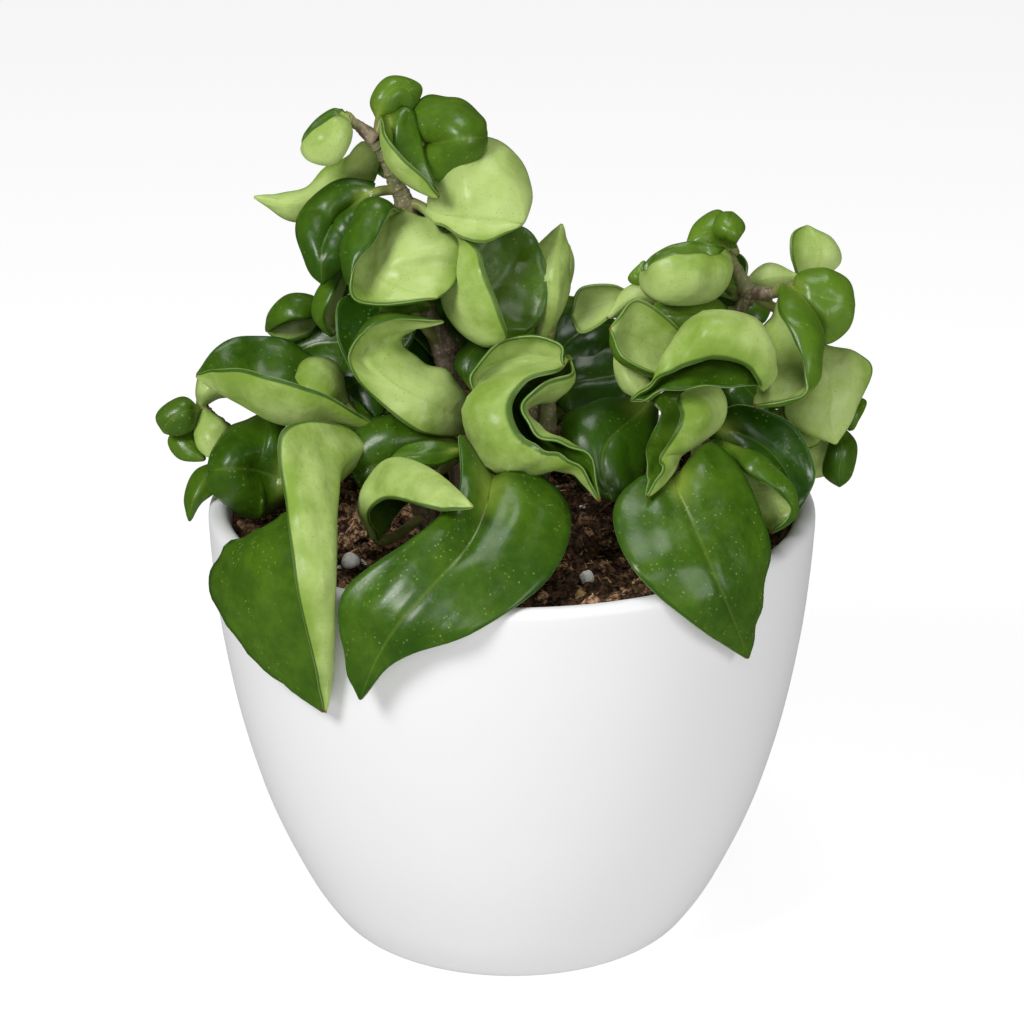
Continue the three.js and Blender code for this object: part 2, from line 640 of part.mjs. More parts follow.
      curlLeft: [50],
      curlRight: [50],
    },
  ],
  broad_hanging_leaf: [
    {
      stalk: [[5.5, 0, 12], [1, 5, 30]],
      rib: [[-4.5, 8, 43], [-6, 0, 53], [-11, -9, 61], [-19, -17.5, 66.5], [-26.5, -26.5, 67],
        [-31, -34, 63], [-35.2, -43.8, 57]],
      left: [[3.5, 10.5, 42], [13.3, 0, 49], [8.5, -15, 62], [-9, -27.8, 68.5], [-27, -34.5, 64]],
      right: [[-12, 17.5, 45], [-12.5, 4, 56], [-24, -7, 62], [-38.5, -18.5, 61], [-38.8, -33, 59]],
      curlLeft: [-60, -50, -20, -10, 0],
      curlRight: [-20, -30, -20, -10, 0],
    },
  ],
  ruffled_leaf: [
    {
      stalk: [[8, 27.5, 21], [11.5, 33.5, 25]],
      rib: [[12.6, 35.3, 33], [7.5, 33, 30], [2, 29.5, 28.5], [-0.6, 23.5, 30.5], [2.5, 17, 33.5],
        [9, 13, 39], [15.5, 9.5, 46], [20.6, 2, 50]],
      left: [[13.9, 31.8, 43], [7, 29.8, 45], [2.5, 25, 48.5], [4.7, 19, 51], [11, 16.2, 53],
        [17.3, 13, 53]],
      right: [[10.5, 32.7, 44], [3.2, 30, 47], [-0.4, 25, 49.5], [1.6, 18, 51.5], [8, 14, 53],
        [15.3, 10.8, 53]],
      curlLeft: [100, 130, 40, 60, 40, 30],
      curlRight: [40, 80, 185, 190, 120, 60],
    },
    {
      stalk: [[-4, 27.5, 31]],
      rib: [[-7, 26.5, 35], [-7, 31.5, 31], [-2, 34.5, 28.5], [4, 35.5, 29], [9, 35.2, 33], [12, 34, 40]],
      left: [[-4, 28, 34], [0, 30, 34], [5, 31.3, 35.5], [9.5, 32.3, 39]],
      right: [[-9.6, 31.5, 35.5], [-3.8, 38, 34.5], [4, 40.7, 35.5], [10.3, 38.8, 38]],
      curlLeft: [-40],
      curlRight: [-60, -60, -60],
    },
  ],
  ruffle_side_leaf: [
    {
      stalk: [[-13.6, 28, 12.3], [-10, 27, 18]],
      rib: [[-8, 28, 24], [-11, 32.5, 26], [-8.5, 37.5, 25], [-1, 40, 21]],
      left: [[-12.8, 34, 23], [-9, 40, 21]],
      right: [[-7.5, 32, 26], [-4, 36, 24]],
      curlLeft: [-50],
      curlRight: [-40],
    },
  ],
  dark_round_leaf: [
    {
      stalk: [[45.5, 22, 4.7], [39, 27, 8]],
      rib: [[32, 25, 15], [27, 20.5, 25], [21.5, 15, 30], [21, 9, 31.5], [23.3, 2.2, 33]],
      left: [[33.5, 20.5, 20], [32, 14, 25], [29, 6.5, 29]],
      right: [[21, 26, 20], [12, 20.8, 25], [14.8, 8, 30]],
      curlLeft: [-60],
      curlRight: [-60, -90, -60],
    },
  ],
  deep_leaves: [
    {
      stalk: [[8, 24, 20.3], [6, 29, 9]],
      rib: [[9, 33, 1], [13, 39, 0], [19, 42.5, -2], [26, 43, -6]],
      left: [[9.5, 43, -3], [17, 47.5, -6]],
      right: [[16, 34, 2], [22, 37, 0]],
      curlLeft: [-40],
      curlRight: [-60],
    },
    {
      stalk: [[7, 16, 18], [8.5, 23, 6]],
      rib: [[10, 28, 2], [16, 30, 4], [24, 31.5, 2], [31, 36, -2]],
      left: [[13.5, 37, 0], [23, 39, -2]],
      right: [[14.5, 22.5, 7], [26, 25, 5]],
      curlLeft: [-50],
      curlRight: [-60],
    },
  ],
  great_fold_leaf: [
    {
      stalk: [[51.5, 43.5, 14.6], [57.5, 35, 25]],
      rib: [[58.5, 29, 37], [57.5, 34, 38], [53.5, 37, 39.5], [46.5, 37.3, 40], [38.5, 33, 41],
        [32.5, 28.8, 42], [27.3, 25.5, 43]],
      left: [[56.6, 29.6, 41], [53, 29.3, 45], [45, 29.2, 47], [37, 28.4, 46.5], [31.5, 26.8, 45]],
      right: [[57.3, 30.3, 46], [53.8, 34.2, 49], [46.5, 35.6, 51], [38, 33.2, 49.5], [31.7, 29.3, 46]],
      curlLeft: [10],
      curlRight: [150, 235, 235, 170, 60],
    },
  ],
  draped_leaf: [
    {
      stalk: [[60.5, 50.8, 18.9]],
      rib: [[63.3, 51.7, 21.5], [69.2, 45, 25], [71, 38, 28], [69.7, 31.5, 31], [65, 26, 35],
        [55.8, 24.5, 35]],
      left: [[60.5, 46, 17], [58, 40, 17], [57.5, 34, 20], [57, 29, 27]],
      right: [[62, 46.8, 31], [65.3, 40.8, 36], [68.2, 33, 38], [67, 26.6, 38]],
      curlLeft: [50],
      curlRight: [-120, -120, -90, -20],
    },
  ],
  bright_cup_leaf: [
    {
      stalk: [[65, 52.4, 19.4]],
      rib: [[65.8, 51.8, 20.5], [69, 50.7, 24], [72.5, 49.3, 23.5], [76, 48.7, 23], [79.3, 47.8, 20]],
      left: [[67, 55.3, 18], [72, 56.3, 17.5], [77.5, 53.3, 17.5]],
      right: [[69, 43.5, 19.5], [72.5, 39.2, 20], [77.5, 42.5, 18.5]],
      curlLeft: [-90, -110, -70],
      curlRight: [-80, -100, -60],
    },
  ],
  lip_leaf: [
    {
      stalk: [[51.4, 56.8, 19.5]],
      rib: [[49.8, 59.5, 21.5], [49.5, 54, 25.5], [46, 49.3, 28], [38, 48, 29.8], [31.7, 50.5, 29.5],
        [29.8, 55.3, 28]],
      left: [[47.5, 59.2, 30], [43, 59.7, 34.5], [37, 59.8, 36], [32.2, 57, 33.5]],
      right: [[46.8, 61.4, 23.5], [42.5, 62.4, 24], [36.5, 61.3, 25], [31.5, 58.3, 26.5]],
      curlLeft: [110, 120, 120, 90],
      curlRight: [30],
    },
  ],
  right_buds: [
    {
      stalk: [[51.6, 60, 16.5]],
      rib: [[50.8, 62, 18.4], [49.6, 64.6, 24.5], [50.4, 67.2, 23.5], [51, 69.2, 18.5]],
      left: [[47.3, 64.9, 20.5], [48, 68.4, 19]],
      right: [[52.1, 63.1, 24], [53.6, 66, 20.5]],
      curlLeft: [-80],
      curlRight: [-70],
    },
    {
      stalk: [[51.5, 60.4, 16.8]],
      rib: [[49.5, 61, 17], [46.5, 64.5, 19], [43, 63.5, 19], [40.5, 61.7, 18]],
      left: [[46.5, 61.5, 19], [43, 61, 19]],
      right: [[48.5, 69.3, 14.5], [43.2, 67.2, 14.5]],
      curlLeft: [-30],
      curlRight: [-50],
    },
  ],
  scoop_leaf: [
    {
      stalk: [[50.2, 38.5, 12.6], [45, 38, 20]],
      rib: [[40, 37, 27], [33.5, 38.5, 28], [27, 41.5, 30], [22.6, 42.5, 34]],
      left: [[38, 42.8, 31], [29, 49, 33]],
      right: [[35, 32, 37], [26, 35.5, 39]],
      curlLeft: [-50],
      curlRight: [-110],
    },
    {
      stalk: [[38, 38, 27], [30, 40, 28]],
      rib: [[25, 39, 26], [25.5, 34, 30], [28, 29, 32], [32, 25.5, 31]],
      left: [[23.8, 34.5, 28], [25.8, 28.5, 29]],
      right: [[30, 34, 30], [32, 29.5, 31]],
      curlLeft: [40],
      curlRight: [30],
    },
  ],
  inner_cup_leaf: [
    {
      stalk: [[52.8, 46.5, 15.8]],
      rib: [[49, 46.5, 15], [45, 46, 22], [38, 45.8, 24], [32, 46.5, 21]],
      left: [[45, 42, 20], [38, 42, 23]],
      right: [[45.5, 50.3, 16], [37, 50.6, 17]],
      curlLeft: [-50],
      curlRight: [-60],
    },
  ],
  pale_cluster: [
    {
      stalk: [[51, 41, 13.5], [40, 49, 9]],
      rib: [[27, 49.5, 12], [22, 48.3, 11.5], [17, 46.3, 12], [13.7, 45.5, 14.5]],
      left: [[23.5, 52.3, 14], [16, 51.7, 15]],
      right: [[22, 44.8, 15], [16, 41.5, 16.5]],
      curlLeft: [-60],
      curlRight: [-60],
    },
    {
      stalk: [[38, 49.3, 10]],
      rib: [[36, 49, 14.5], [31, 50, 18], [26, 48.3, 19.5], [22, 44.8, 20]],
      left: [[32, 53, 15.5], [26.2, 51.3, 17]],
      right: [[30.5, 47.3, 17], [25.5, 45.5, 18]],
      curlLeft: [40],
      curlRight: [40],
    },
    {
      stalk: [[35, 50, 11]],
      rib: [[31, 52, 17], [28.6, 54.5, 18], [30.8, 58, 16]],
      left: [[27.2, 54, 16]],
      right: [[30.5, 54.5, 18]],
      curlLeft: [-40],
      curlRight: [-30],
    },
  ],
  heart_leaf: [
    {
      stalk: [[41.3, 4, 21], [38, 8, 36]],
      rib: [[37, 7, 44], [40, 1, 49.5], [43, -6, 54], [46, -13, 56.5], [50, -22.5, 54.5],
        [54.7, -34.2, 43]],
      left: [[46, 15.9, 40], [55.5, 4.5, 44], [59.3, -9, 46], [57.5, -21, 46]],
      right: [[29.5, 8, 46], [23.8, -1, 52], [29, -14, 60], [41.5, -25.3, 58]],
      curlLeft: [-40, -30, -20, -10],
      curlRight: [-30, -30, -30, -10],
    },
  ],
  ruffled_hanging_leaf: [
    {
      stalk: [[47.7, 29, 8.4], [44.5, 32, 16]],
      rib: [[44, 30, 23], [48.7, 26.5, 28], [48, 22, 30], [43.3, 17.5, 33], [39, 13.8, 38],
        [36.6, 9, 46], [31, 3.3, 53.5]],
      left: [[38.8, 26.5, 38], [39.5, 22.5, 42], [37.8, 17.5, 43.5], [34.6, 13.2, 46.5],
        [34.4, 9.5, 50.5]],
      right: [[33.5, 26.5, 29], [34.6, 22.5, 31], [32.5, 17.5, 36], [31.3, 14, 42.5], [31.8, 9.3, 50]],
      curlLeft: [90, 100, 90, 60, 30],
      curlRight: [40, 40, 20, 20, 20],
    },
  ],
  rim_cup_leaf: [
    {
      stalk: [[43, 12, 26], [45, 15, 28.5]],
      rib: [[48, 15.5, 31], [56, 13, 35], [62, 8, 36], [65.6, 0, 36], [60, -4.8, 37]],
      left: [[50, 6, 30], [54, 1, 30], [58, -3, 33]],
      right: [[54, 9.6, 40], [60, 6, 41.5], [65, 0.7, 39]],
      curlLeft: [30],
      curlRight: [-110],
    },
  ],
  dark_cup_leaf: [
    {
      stalk: [[42.5, 9.5, 24.5], [43, 17, 21]],
      rib: [[46, 20, 20], [53, 18, 22], [60, 13.5, 24], [64.5, 6.5, 26], [65.7, -0.8, 27]],
      left: [[52.5, 24.5, 25], [64, 20.5, 25], [70, 9, 25]],
      right: [[51, 12, 26], [56, 8, 28], [62, 2, 28]],
      curlLeft: [60, 70, 50],
      curlRight: [20],
    },
  ],
  deep_right_leaf: [
    {
      stalk: [[52.5, 27, 6], [51.5, 30.5, 10]],
      rib: [[50.5, 32, 13.5], [53, 29.5, 15.5], [56.5, 26, 15.5], [59.5, 22, 15]],
      left: [[56.5, 32.8, 13], [61.5, 27, 13.5]],
      right: [[48.8, 27, 15], [52.5, 21.5, 15.5]],
      curlLeft: [-40],
      curlRight: [-40],
    },
  ],
  pale_edge_leaf: [
    {
      stalk: [[56, 50, 17.3], [64, 45, 14]],
      rib: [[69, 38, 15], [72.5, 33, 18], [73.5, 27, 21], [73.3, 21, 21.5], [75, 15.5, 20]],
      left: [[66, 33, 16], [63.5, 27, 19], [64, 21, 20]],
      right: [[78.5, 37, 14], [83.2, 33, 14], [79.3, 23.5, 17.5]],
      curlLeft: [40],
      curlRight: [40],
    },
  ],
  rear_right_leaves: [
    {
      stalk: [[53.6, 50.3, 16.6]],
      rib: [[54, 52, 9], [59.5, 54, 12], [67, 54.5, 10]],
      left: [[60, 50.5, 9]],
      right: [[59, 57.3, 9]],
      curlLeft: [50],
      curlRight: [50],
    },
    {
      stalk: [[62, 54.3, 11.5]],
      rib: [[68, 53.5, 3], [71, 58, 7], [71, 62.5, 7], [68, 66.3, 5]],
      left: [[75.6, 57.5, 3], [74.3, 62.6, 3]],
      right: [[65, 58, 10], [65, 64, 10]],
      curlLeft: [60],
      curlRight: [-60],
    },
  ],
  edge_shoot: [
    {
      stalk: [[73, 22.7, 7.3]],
      rib: [[75, 26, 9], [79.5, 23.5, 12], [78.5, 18.8, 12]],
      left: [[81.8, 25.5, 9]],
      right: [[76.5, 21, 12]],
      curlLeft: [40],
      curlRight: [40],
    },
    {
      stalk: [[73, 22.7, 7.3]],
      rib: [[75, 20, 8], [76.3, 15, 13], [75.6, 10, 13], [75.8, 5.8, 11]],
      left: [[79.4, 15.8, 9], [78.7, 9, 10]],
      right: [[73.3, 15, 11], [72.2, 9, 11]],
      curlLeft: [-30],
      curlRight: [-30],
    },
    {
      stalk: [[73, 22.7, 7.3]],
      rib: [[74.5, 17, 6], [71, 13, 9], [69, 7.8, 8]],
      left: [[65.8, 15.5, 7]],
      right: [[73.3, 9.5, 7]],
      curlLeft: [30],
      curlRight: [30],
    },
  ],
  lower_pale_leaf: [
    {
      stalk: [[59, 25.8, 5.3]],
      rib: [[60, 21.5, 10], [64.5, 20.5, 12], [69, 19.3, 12.5], [73, 18.3, 11.5]],
      left: [[64.5, 15.5, 12.5], [69.5, 15.2, 12.5]],
      right: [[64.5, 24.3, 10.5], [70, 23.3, 11]],
      curlLeft: [30],
      curlRight: [30],
    },
  ],
};


function toVector([x, y, z]) {
  return new THREE.Vector3(x, y, z);
}

function placeBlade(blade) {
  const placed = { ...blade };
  for (const key of ['stalk', 'rib', 'left', 'right']) {
    placed[key] = blade[key].map(place);
  }
  return placed;
}

// Large blades take more rows and columns than small ones.
function bladeSolid(blade, grow = 0) {
  const length = blade.rib[0].distanceTo(blade.rib[blade.rib.length - 1]);
  const size = blade.size ?? SIZES.find((item) => length <= item.longest);
  const curled = Math.max(...blade.curlLeft, ...blade.curlRight) > FINE_CURL;
  const rings = leafRings(blade, size.rows, curled ? size.fineColumns : size.halfColumns, grow);
  return toSolid(leafGeometry(rings));
}

function joinAll(solids) {
  return solids.reduce((whole, next) => whole.add(next));
}

// A closed body through rings of equal count, with flat ends.
function loftSolid(rings) {
  const count = rings[0].length;
  const positions = rings.flat().flatMap((point) => [point.x, point.y, point.z]);
  const faces = [];
  for (let row = 0; row < rings.length - 1; row += 1) {
    for (let i = 0; i < count; i += 1) {
      const a = row * count + i;
      const b = row * count + (i + 1) % count;
      faces.push(a, b, b + count, a, b + count, a + count);
    }
  }
  const last = (rings.length - 1) * count;
  for (let i = 1; i < count - 1; i += 1) {
    faces.push(0, i + 1, i, last, last + i, last + i + 1);
  }
  const geometry = new THREE.BufferGeometry();
  geometry.setAttribute('position', new THREE.Float32BufferAttribute(positions, 3));
  geometry.setIndex(faces);
  return toSolid(geometry);
}

// A smooth curve whose ends run on straight.
function openCurve(points) {
  const last = points.length - 1;
  return smoothCurve(points, mirrorPoint(points[0], points[1]), mirrorPoint(points[last], points[last - 1]));
}

// A stem through points that each carry a radius.
function stemSolid(points, grow = 0) {
  const spans = points.length - 1;
  const curve = openCurve(points.map((item) => item.centre));
  const rings = [];
  const steps = spans * STEM_STEPS;
  let across = new THREE.Vector3(1, 0, 0);
  for (let i = 0; i <= steps; i += 1) {
    const share = i / steps;
    const along = curve(share + SMALL_STEP).sub(curve(share - SMALL_STEP)).normalize();
    across = across.addScaledVector(along, -across.dot(along)).normalize();
    const other = along.clone().cross(across);
    const low = Math.min(Math.floor(share * spans), spans - 1);
    const part = share * spans - low;
    const radius = points[low].radius * (1 - part) + points[low + 1].radius * part + grow;
    const end = i === 0 ? -grow : i === steps ? grow : 0;
    const centre = curve(share).addScaledVector(along, end);
    rings.push(Array.from({ length: STEM_SIDES }, (_, k) => {
      const angle = 2 * Math.PI * k / STEM_SIDES;
      return centre.clone()
        .addScaledVector(across, radius * Math.cos(angle))
        .addScaledVector(other, radius * Math.sin(angle));
    }));
  }
  return loftSolid(rings);
}

// A leaf laid out by its heading, climb and size, with its margins turned up or down.
function shootLeaf(foot, [heading, climb, length, width, curl]) {
  const turn = THREE.MathUtils.degToRad(heading);
  const level = new THREE.Vector3(Math.cos(turn), Math.sin(turn), 0);
  const across = new THREE.Vector3(level.y, -level.x, 0);
  const rib = [foot.clone()];
  const left = [];
  const right = [];
  const stalk = level.clone().multiplyScalar(SHOOT_STALK);
  rib[0].add(stalk);
  WIDTH_SHARES.forEach((share, i) => {
    const slope = THREE.MathUtils.degToRad(climb - SHOOT_DROOP * (i + 0.5) / WIDTH_SHARES.length);
    const along = level.clone().multiplyScalar(Math.cos(slope)).setZ(Math.sin(slope));
    const upper = across.clone().cross(along);
    const middle = rib[i].clone().addScaledVector(along, length / WIDTH_SHARES.length);
    const reach = width / 2 * share;
    rib.push(middle);
    if (share > 0) {
      const lift = upper.multiplyScalar(reach * Math.sign(curl) * SHOOT_CUP);
      left.push(middle.clone().addScaledVector(across, -reach).add(lift));
      right.push(middle.clone().addScaledVector(across, reach).add(lift));
    }
  });
  return { stalk: [foot], rib, left, right, curlLeft: [curl], curlRight: [curl], size: SHOOT_BLADE };
}

// A stem with its leaves, sunk into it and fused.
function leafyStem(points, leaves, grow = 0) {
  const curve = openCurve(points.map((item) => item.centre));
  const blades = leaves.map(([share, ...shape]) => shootLeaf(curve(share), shape));
  return joinAll([stemSolid(points, grow), ...blades.map((blade) => bladeSolid(blade, grow))]);
}

function shootPoints(name) {
  return SHOOTS[name].stem.map(([x, y, z, radius]) => ({ centre: toVector([x, y, z]), radius }));
}

function stemPoints(name) {
  return STEMS[name].map(([across, up, near, radius]) => ({ centre: place([across, up, near]), radius }));
}

function potRadius(height) {
  const outline = POT_OUTLINE.map(([level, share]) => new THREE.Vector3(share, level, 0));
  const curve = openCurve(outline);
  let low = 0;
  let high = 1;
  for (let i = 0; i < HEIGHT_HALVINGS; i += 1) {
    const half = (low + high) / 2;
    if (curve(half).y * POT_HEIGHT < height) low = half;
    else high = half;
  }
  return curve(low).x * POT_WIDTH / 2;
}

function lathe(profile) {
  const geometry = new THREE.LatheGeometry(profile.map(([x, y]) => new THREE.Vector2(x, y)), POT_SIDES);
  geometry.rotateX(Math.PI / 2);
  return geometry;
}

function levels(from, to, count) {
  return Array.from({ length: count + 1 }, (_, i) => from + (to - from) * i / count);
}

// The pot: thin rounded foot, swelling side, round lip, plain inside.
function potSolid() {
  const foot = potRadius(0);
  const lipLevel = POT_HEIGHT - LIP_ROUND;
  const outer = levels(FOOT_ROUND, lipLevel, OUTER_LEVELS).map((z) => [potRadius(z), z]);
  const lipMiddle = potRadius(lipLevel) - LIP_ROUND;
  const lip = levels(0, Math.PI, LIP_STEPS).slice(1, -1).map((angle) => (
    [lipMiddle + LIP_ROUND * Math.cos(angle), lipLevel + LIP_ROUND * Math.sin(angle)]
  ));
  const inner = wallLevels().reverse().map((z) => [potInside(z), z]);
  const profile = [[0, 0], [foot - FOOT_ROUND, 0], ...outer, ...lip, ...inner, [0, FLOOR_THICK]];
  return toSolid(lathe(profile));
}

function potInside(height) {
  const wall = height > POT_HEIGHT - LIP_SPAN
    ? THREE.MathUtils.mapLinear(height, POT_HEIGHT - LIP_SPAN, POT_HEIGHT - LIP_ROUND, WALL, 2 * LIP_ROUND)
    : WALL;
  return potRadius(height) - wall;
}

function wallLevels() {
  return [...levels(FLOOR_THICK, SOIL_LEVEL - SOIL_EDGE_DROP, WALL_LEVELS), POT_HEIGHT - LIP_ROUND];
}

function soilHeight(x, y) {
  const share = Math.hypot(x, y) / (POT_WIDTH / 2);
  const crossed = Math.sin(LUMP_ACROSS * x) * Math.cos(LUMP_BACK * y);
  const slanting = Math.sin(LUMP_SLANT_ACROSS * x + LUMP_SLANT_BACK * y);
  const lumps = crossed + LUMP_SLANT_SHARE * slanting;
  return SOIL_LEVEL + SOIL_CROWN * (1 - share * share) + SOIL_ROUGH * lumps;
}

// The soil fills the pot, with a rough top.
function soilSolid() {
  const wall = wallLevels().slice(0, -1).map((z, i) => [potInside(z) - GAP, i ? z : z + GAP]);
  const edge = wall[wall.length - 1][0];
  const top = levels(edge, 0, SOIL_RINGS).slice(1).map((radius) => [radius, SOIL_LEVEL]);
  const geometry = lathe([[0, FLOOR_THICK + GAP], ...wall, ...top]);
  const position = geometry.attributes.position;
  for (let i = 0; i < position.count; i += 1) {
    if (position.getZ(i) > SOIL_LEVEL - SOIL_EDGE_DROP / 2) {
      position.setZ(i, soilHeight(position.getX(i), position.getY(i)));
    }
  }
  return toSolid(geometry);
}

function grainSolid([x, y, size], grow = 0) {
  const geometry = new THREE.IcosahedronGeometry(1, GRAIN_DETAIL);
  const position = geometry.attributes.position;
  const point = new THREE.Vector3();
  for (let i = 0; i < position.count; i += 1) {
    point.fromBufferAttribute(position, i);
    const lump = 1 + GRAIN_LUMP * Math.sin(GRAIN_WAVES * point.x + x) * Math.cos(GRAIN_WAVES * point.y + y);
    point.multiplyScalar(size / 2 * lump + grow);
    const height = soilHeight(x, y) + GRAIN_STAND * size + GRAIN_FLATNESS * point.z;
    position.setXYZ(i, x + point.x, y + point.y, height);
  }
  return toSolid(geometry);
}

// Only the largest body is kept after a cut: loose scraps are dropped.
function largestBody(solid) {
  const bodies = toSolid(toGeometry(solid)).decompose();
  return bodies.reduce((best, next) => (next.volume() > best.volume() ? next : best));
}

function boxesMeet(a, b) {
  const first = a.boundingBox();
  const second = b.boundingBox();
  return [0, 1, 2].every((i) => first.min[i] < second.max[i] && second.min[i] < first.max[i]);
}

// A piece that comes later gives way to those before it, and keeps the gap to them.
const laid = [];
function giveWay(solid) {
  const crosses = (grown) => boxesMeet(solid, grown) && solid.intersect(grown).volume() > LEAST_CUT;
  const crossing = laid.filter(crosses);
  return crossing.reduce((rest, grown) => largestBody(rest.subtract(grown)), solid);
}

const plant = new THREE.Group();
plant.name = 'hindu_rope_plant';

function addPiece(name, solid, finish) {
  const mesh = new THREE.Mesh(toGeometry(largestBody(solid)), new THREE.MeshStandardMaterial(finish));
  mesh.name = name;
  plant.add(mesh);
}

const GLAZE = { color: 0xf1f1f0, roughness: 0.35, metalness: 0 };
const SOIL = { color: 0x3a2417, roughness: 0.95, metalness: 0 };
const BARK = { color: 0x6b5340, roughness: 0.8, metalness: 0 };
const PERLITE = { color: 0xe4ded2, roughness: 0.9, metalness: 0 };
const TAN = { color: 0xa98a5f, roughness: 0.9, metalness: 0 };
const LEAF = { color: 0x3f7a1c, roughness: 0.35, metalness: 0 };

// The first part of a stem node carries its rear leaves.
function stemNode(name, grow) {
  const [main, ...arms] = STEM_NODES[name].map(stemPoints);
  const leafy = leafyStem(main, REAR_LEAVES[name] ?? [], grow);
  return joinAll([leafy, ...arms.map((points) => stemSolid(points, grow))]);
}

function shootNode(name, grow) {
  return leafyStem(shootPoints(name), SHOOTS[name].leaves, grow);
}

function leafNode(name, grow) {
  return joinAll(LEAVES[name].map((blade) => bladeSolid(placeBlade(blade), grow)));
}

function layNode(name, make, finish) {
  const solid = giveWay(make(name, 0));
  addPiece(name, solid, finish);
  laid.push(make(name, GAP).add(solid));
}

Object.keys(STEM_NODES).forEach((name) => layNode(name, stemNode, BARK));
const stemsLaid = laid.length;
Object.keys(LEAVES).forEach((name) => layNode(name, leafNode, LEAF));
Object.keys(SHOOTS).forEach((name) => layNode(name, shootNode, LEAF));

const shootStems = Object.keys(SHOOTS).map((name) => stemSolid(shootPoints(name), GAP));
const inSoil = [...laid.slice(0, stemsLaid), ...shootStems];
for (const [name, grain] of Object.entries(GRAINS)) {
  addPiece(name, grainSolid(grain.place), grain.pale ? PERLITE : TAN);
  inSoil.push(grainSolid(grain.place, GAP));
}
addPiece('soil', inSoil.reduce((rest, grown) => rest.subtract(grown), soilSolid()), SOIL);
addPiece('pot', potSolid(), GLAZE);

export default plant;
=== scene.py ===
"""Looks of a compact hindu rope plant in a plain white glazed pot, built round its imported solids."""
import logging
import math
from dataclasses import dataclass, field
from enum import Enum
from typing import Callable, Iterable

import bmesh
import bpy
import numpy as np
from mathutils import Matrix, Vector


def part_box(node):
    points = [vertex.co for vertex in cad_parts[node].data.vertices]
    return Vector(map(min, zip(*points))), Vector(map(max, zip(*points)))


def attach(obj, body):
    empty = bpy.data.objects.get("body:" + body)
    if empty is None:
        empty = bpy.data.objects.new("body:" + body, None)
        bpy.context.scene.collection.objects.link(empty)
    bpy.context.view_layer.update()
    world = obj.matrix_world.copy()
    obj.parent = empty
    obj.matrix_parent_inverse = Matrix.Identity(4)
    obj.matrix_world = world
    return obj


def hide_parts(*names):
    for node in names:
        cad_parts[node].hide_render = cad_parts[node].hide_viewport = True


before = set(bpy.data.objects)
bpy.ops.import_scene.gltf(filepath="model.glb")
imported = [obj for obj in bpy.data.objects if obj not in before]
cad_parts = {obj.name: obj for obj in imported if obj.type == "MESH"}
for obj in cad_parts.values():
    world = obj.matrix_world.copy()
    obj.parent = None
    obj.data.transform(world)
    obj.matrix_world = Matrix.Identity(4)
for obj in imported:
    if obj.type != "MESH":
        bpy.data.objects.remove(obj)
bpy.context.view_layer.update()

log = logging.getLogger("plant")

MM = 0.001
TURN = 2 * math.pi
SMALL_STEP = 2e-3

# The plant is laid out as it is seen from the front, a little from above: across, up the tilted
# view plane through the pot's axis, and near, towards the viewer, in millimetres.
VIEW_TILT = math.radians(20.8)
VIEW_DISTANCE = 810.0
VIEW_HEIGHT = 99.3
FOCAL_LENGTH = 123.0

# Driving dimensions of the pot and the soil, in millimetres
POT_HEIGHT = 103.0
POT_WIDTH = 140.0
WALL = 5.0
LIP_ROUND = 2.4
LIP_SPAN = 8.0
FOOT_ROUND = 1.4
FLOOR_THICK = 7.0
SOIL_LEVEL = 97.0
SOIL_CROWN = 1.6
SOIL_ROUGH = 0.9
GAP = 0.3

# Outline of the pot: share of the height, share of the greatest radius
POT_OUTLINE = [
    (0, 0.584), (0.03, 0.624), (0.12, 0.706), (0.3, 0.823),
    (0.5, 0.909), (0.7, 0.964), (0.85, 0.989), (0.96, 1),
]
OUTLINE_STEPS = 400

# Lumps of the soil: waves per millimetre across, back and slanting, and the slanting one's share
LUMP_ACROSS = 0.55
LUMP_BACK = 0.48
LUMP_SLANT_ACROSS = 1.05
LUMP_SLANT_BACK = -0.8
LUMP_SLANT_SHARE = 0.6

Curve = Callable[[np.ndarray], np.ndarray]


@dataclass
class Blade:
    """One leaf: its stalk, the middle rib, both margins and the curl of each half in degrees."""

    stalk: list
    rib: list
    left: list
    right: list
    curl_left: list
    curl_right: list


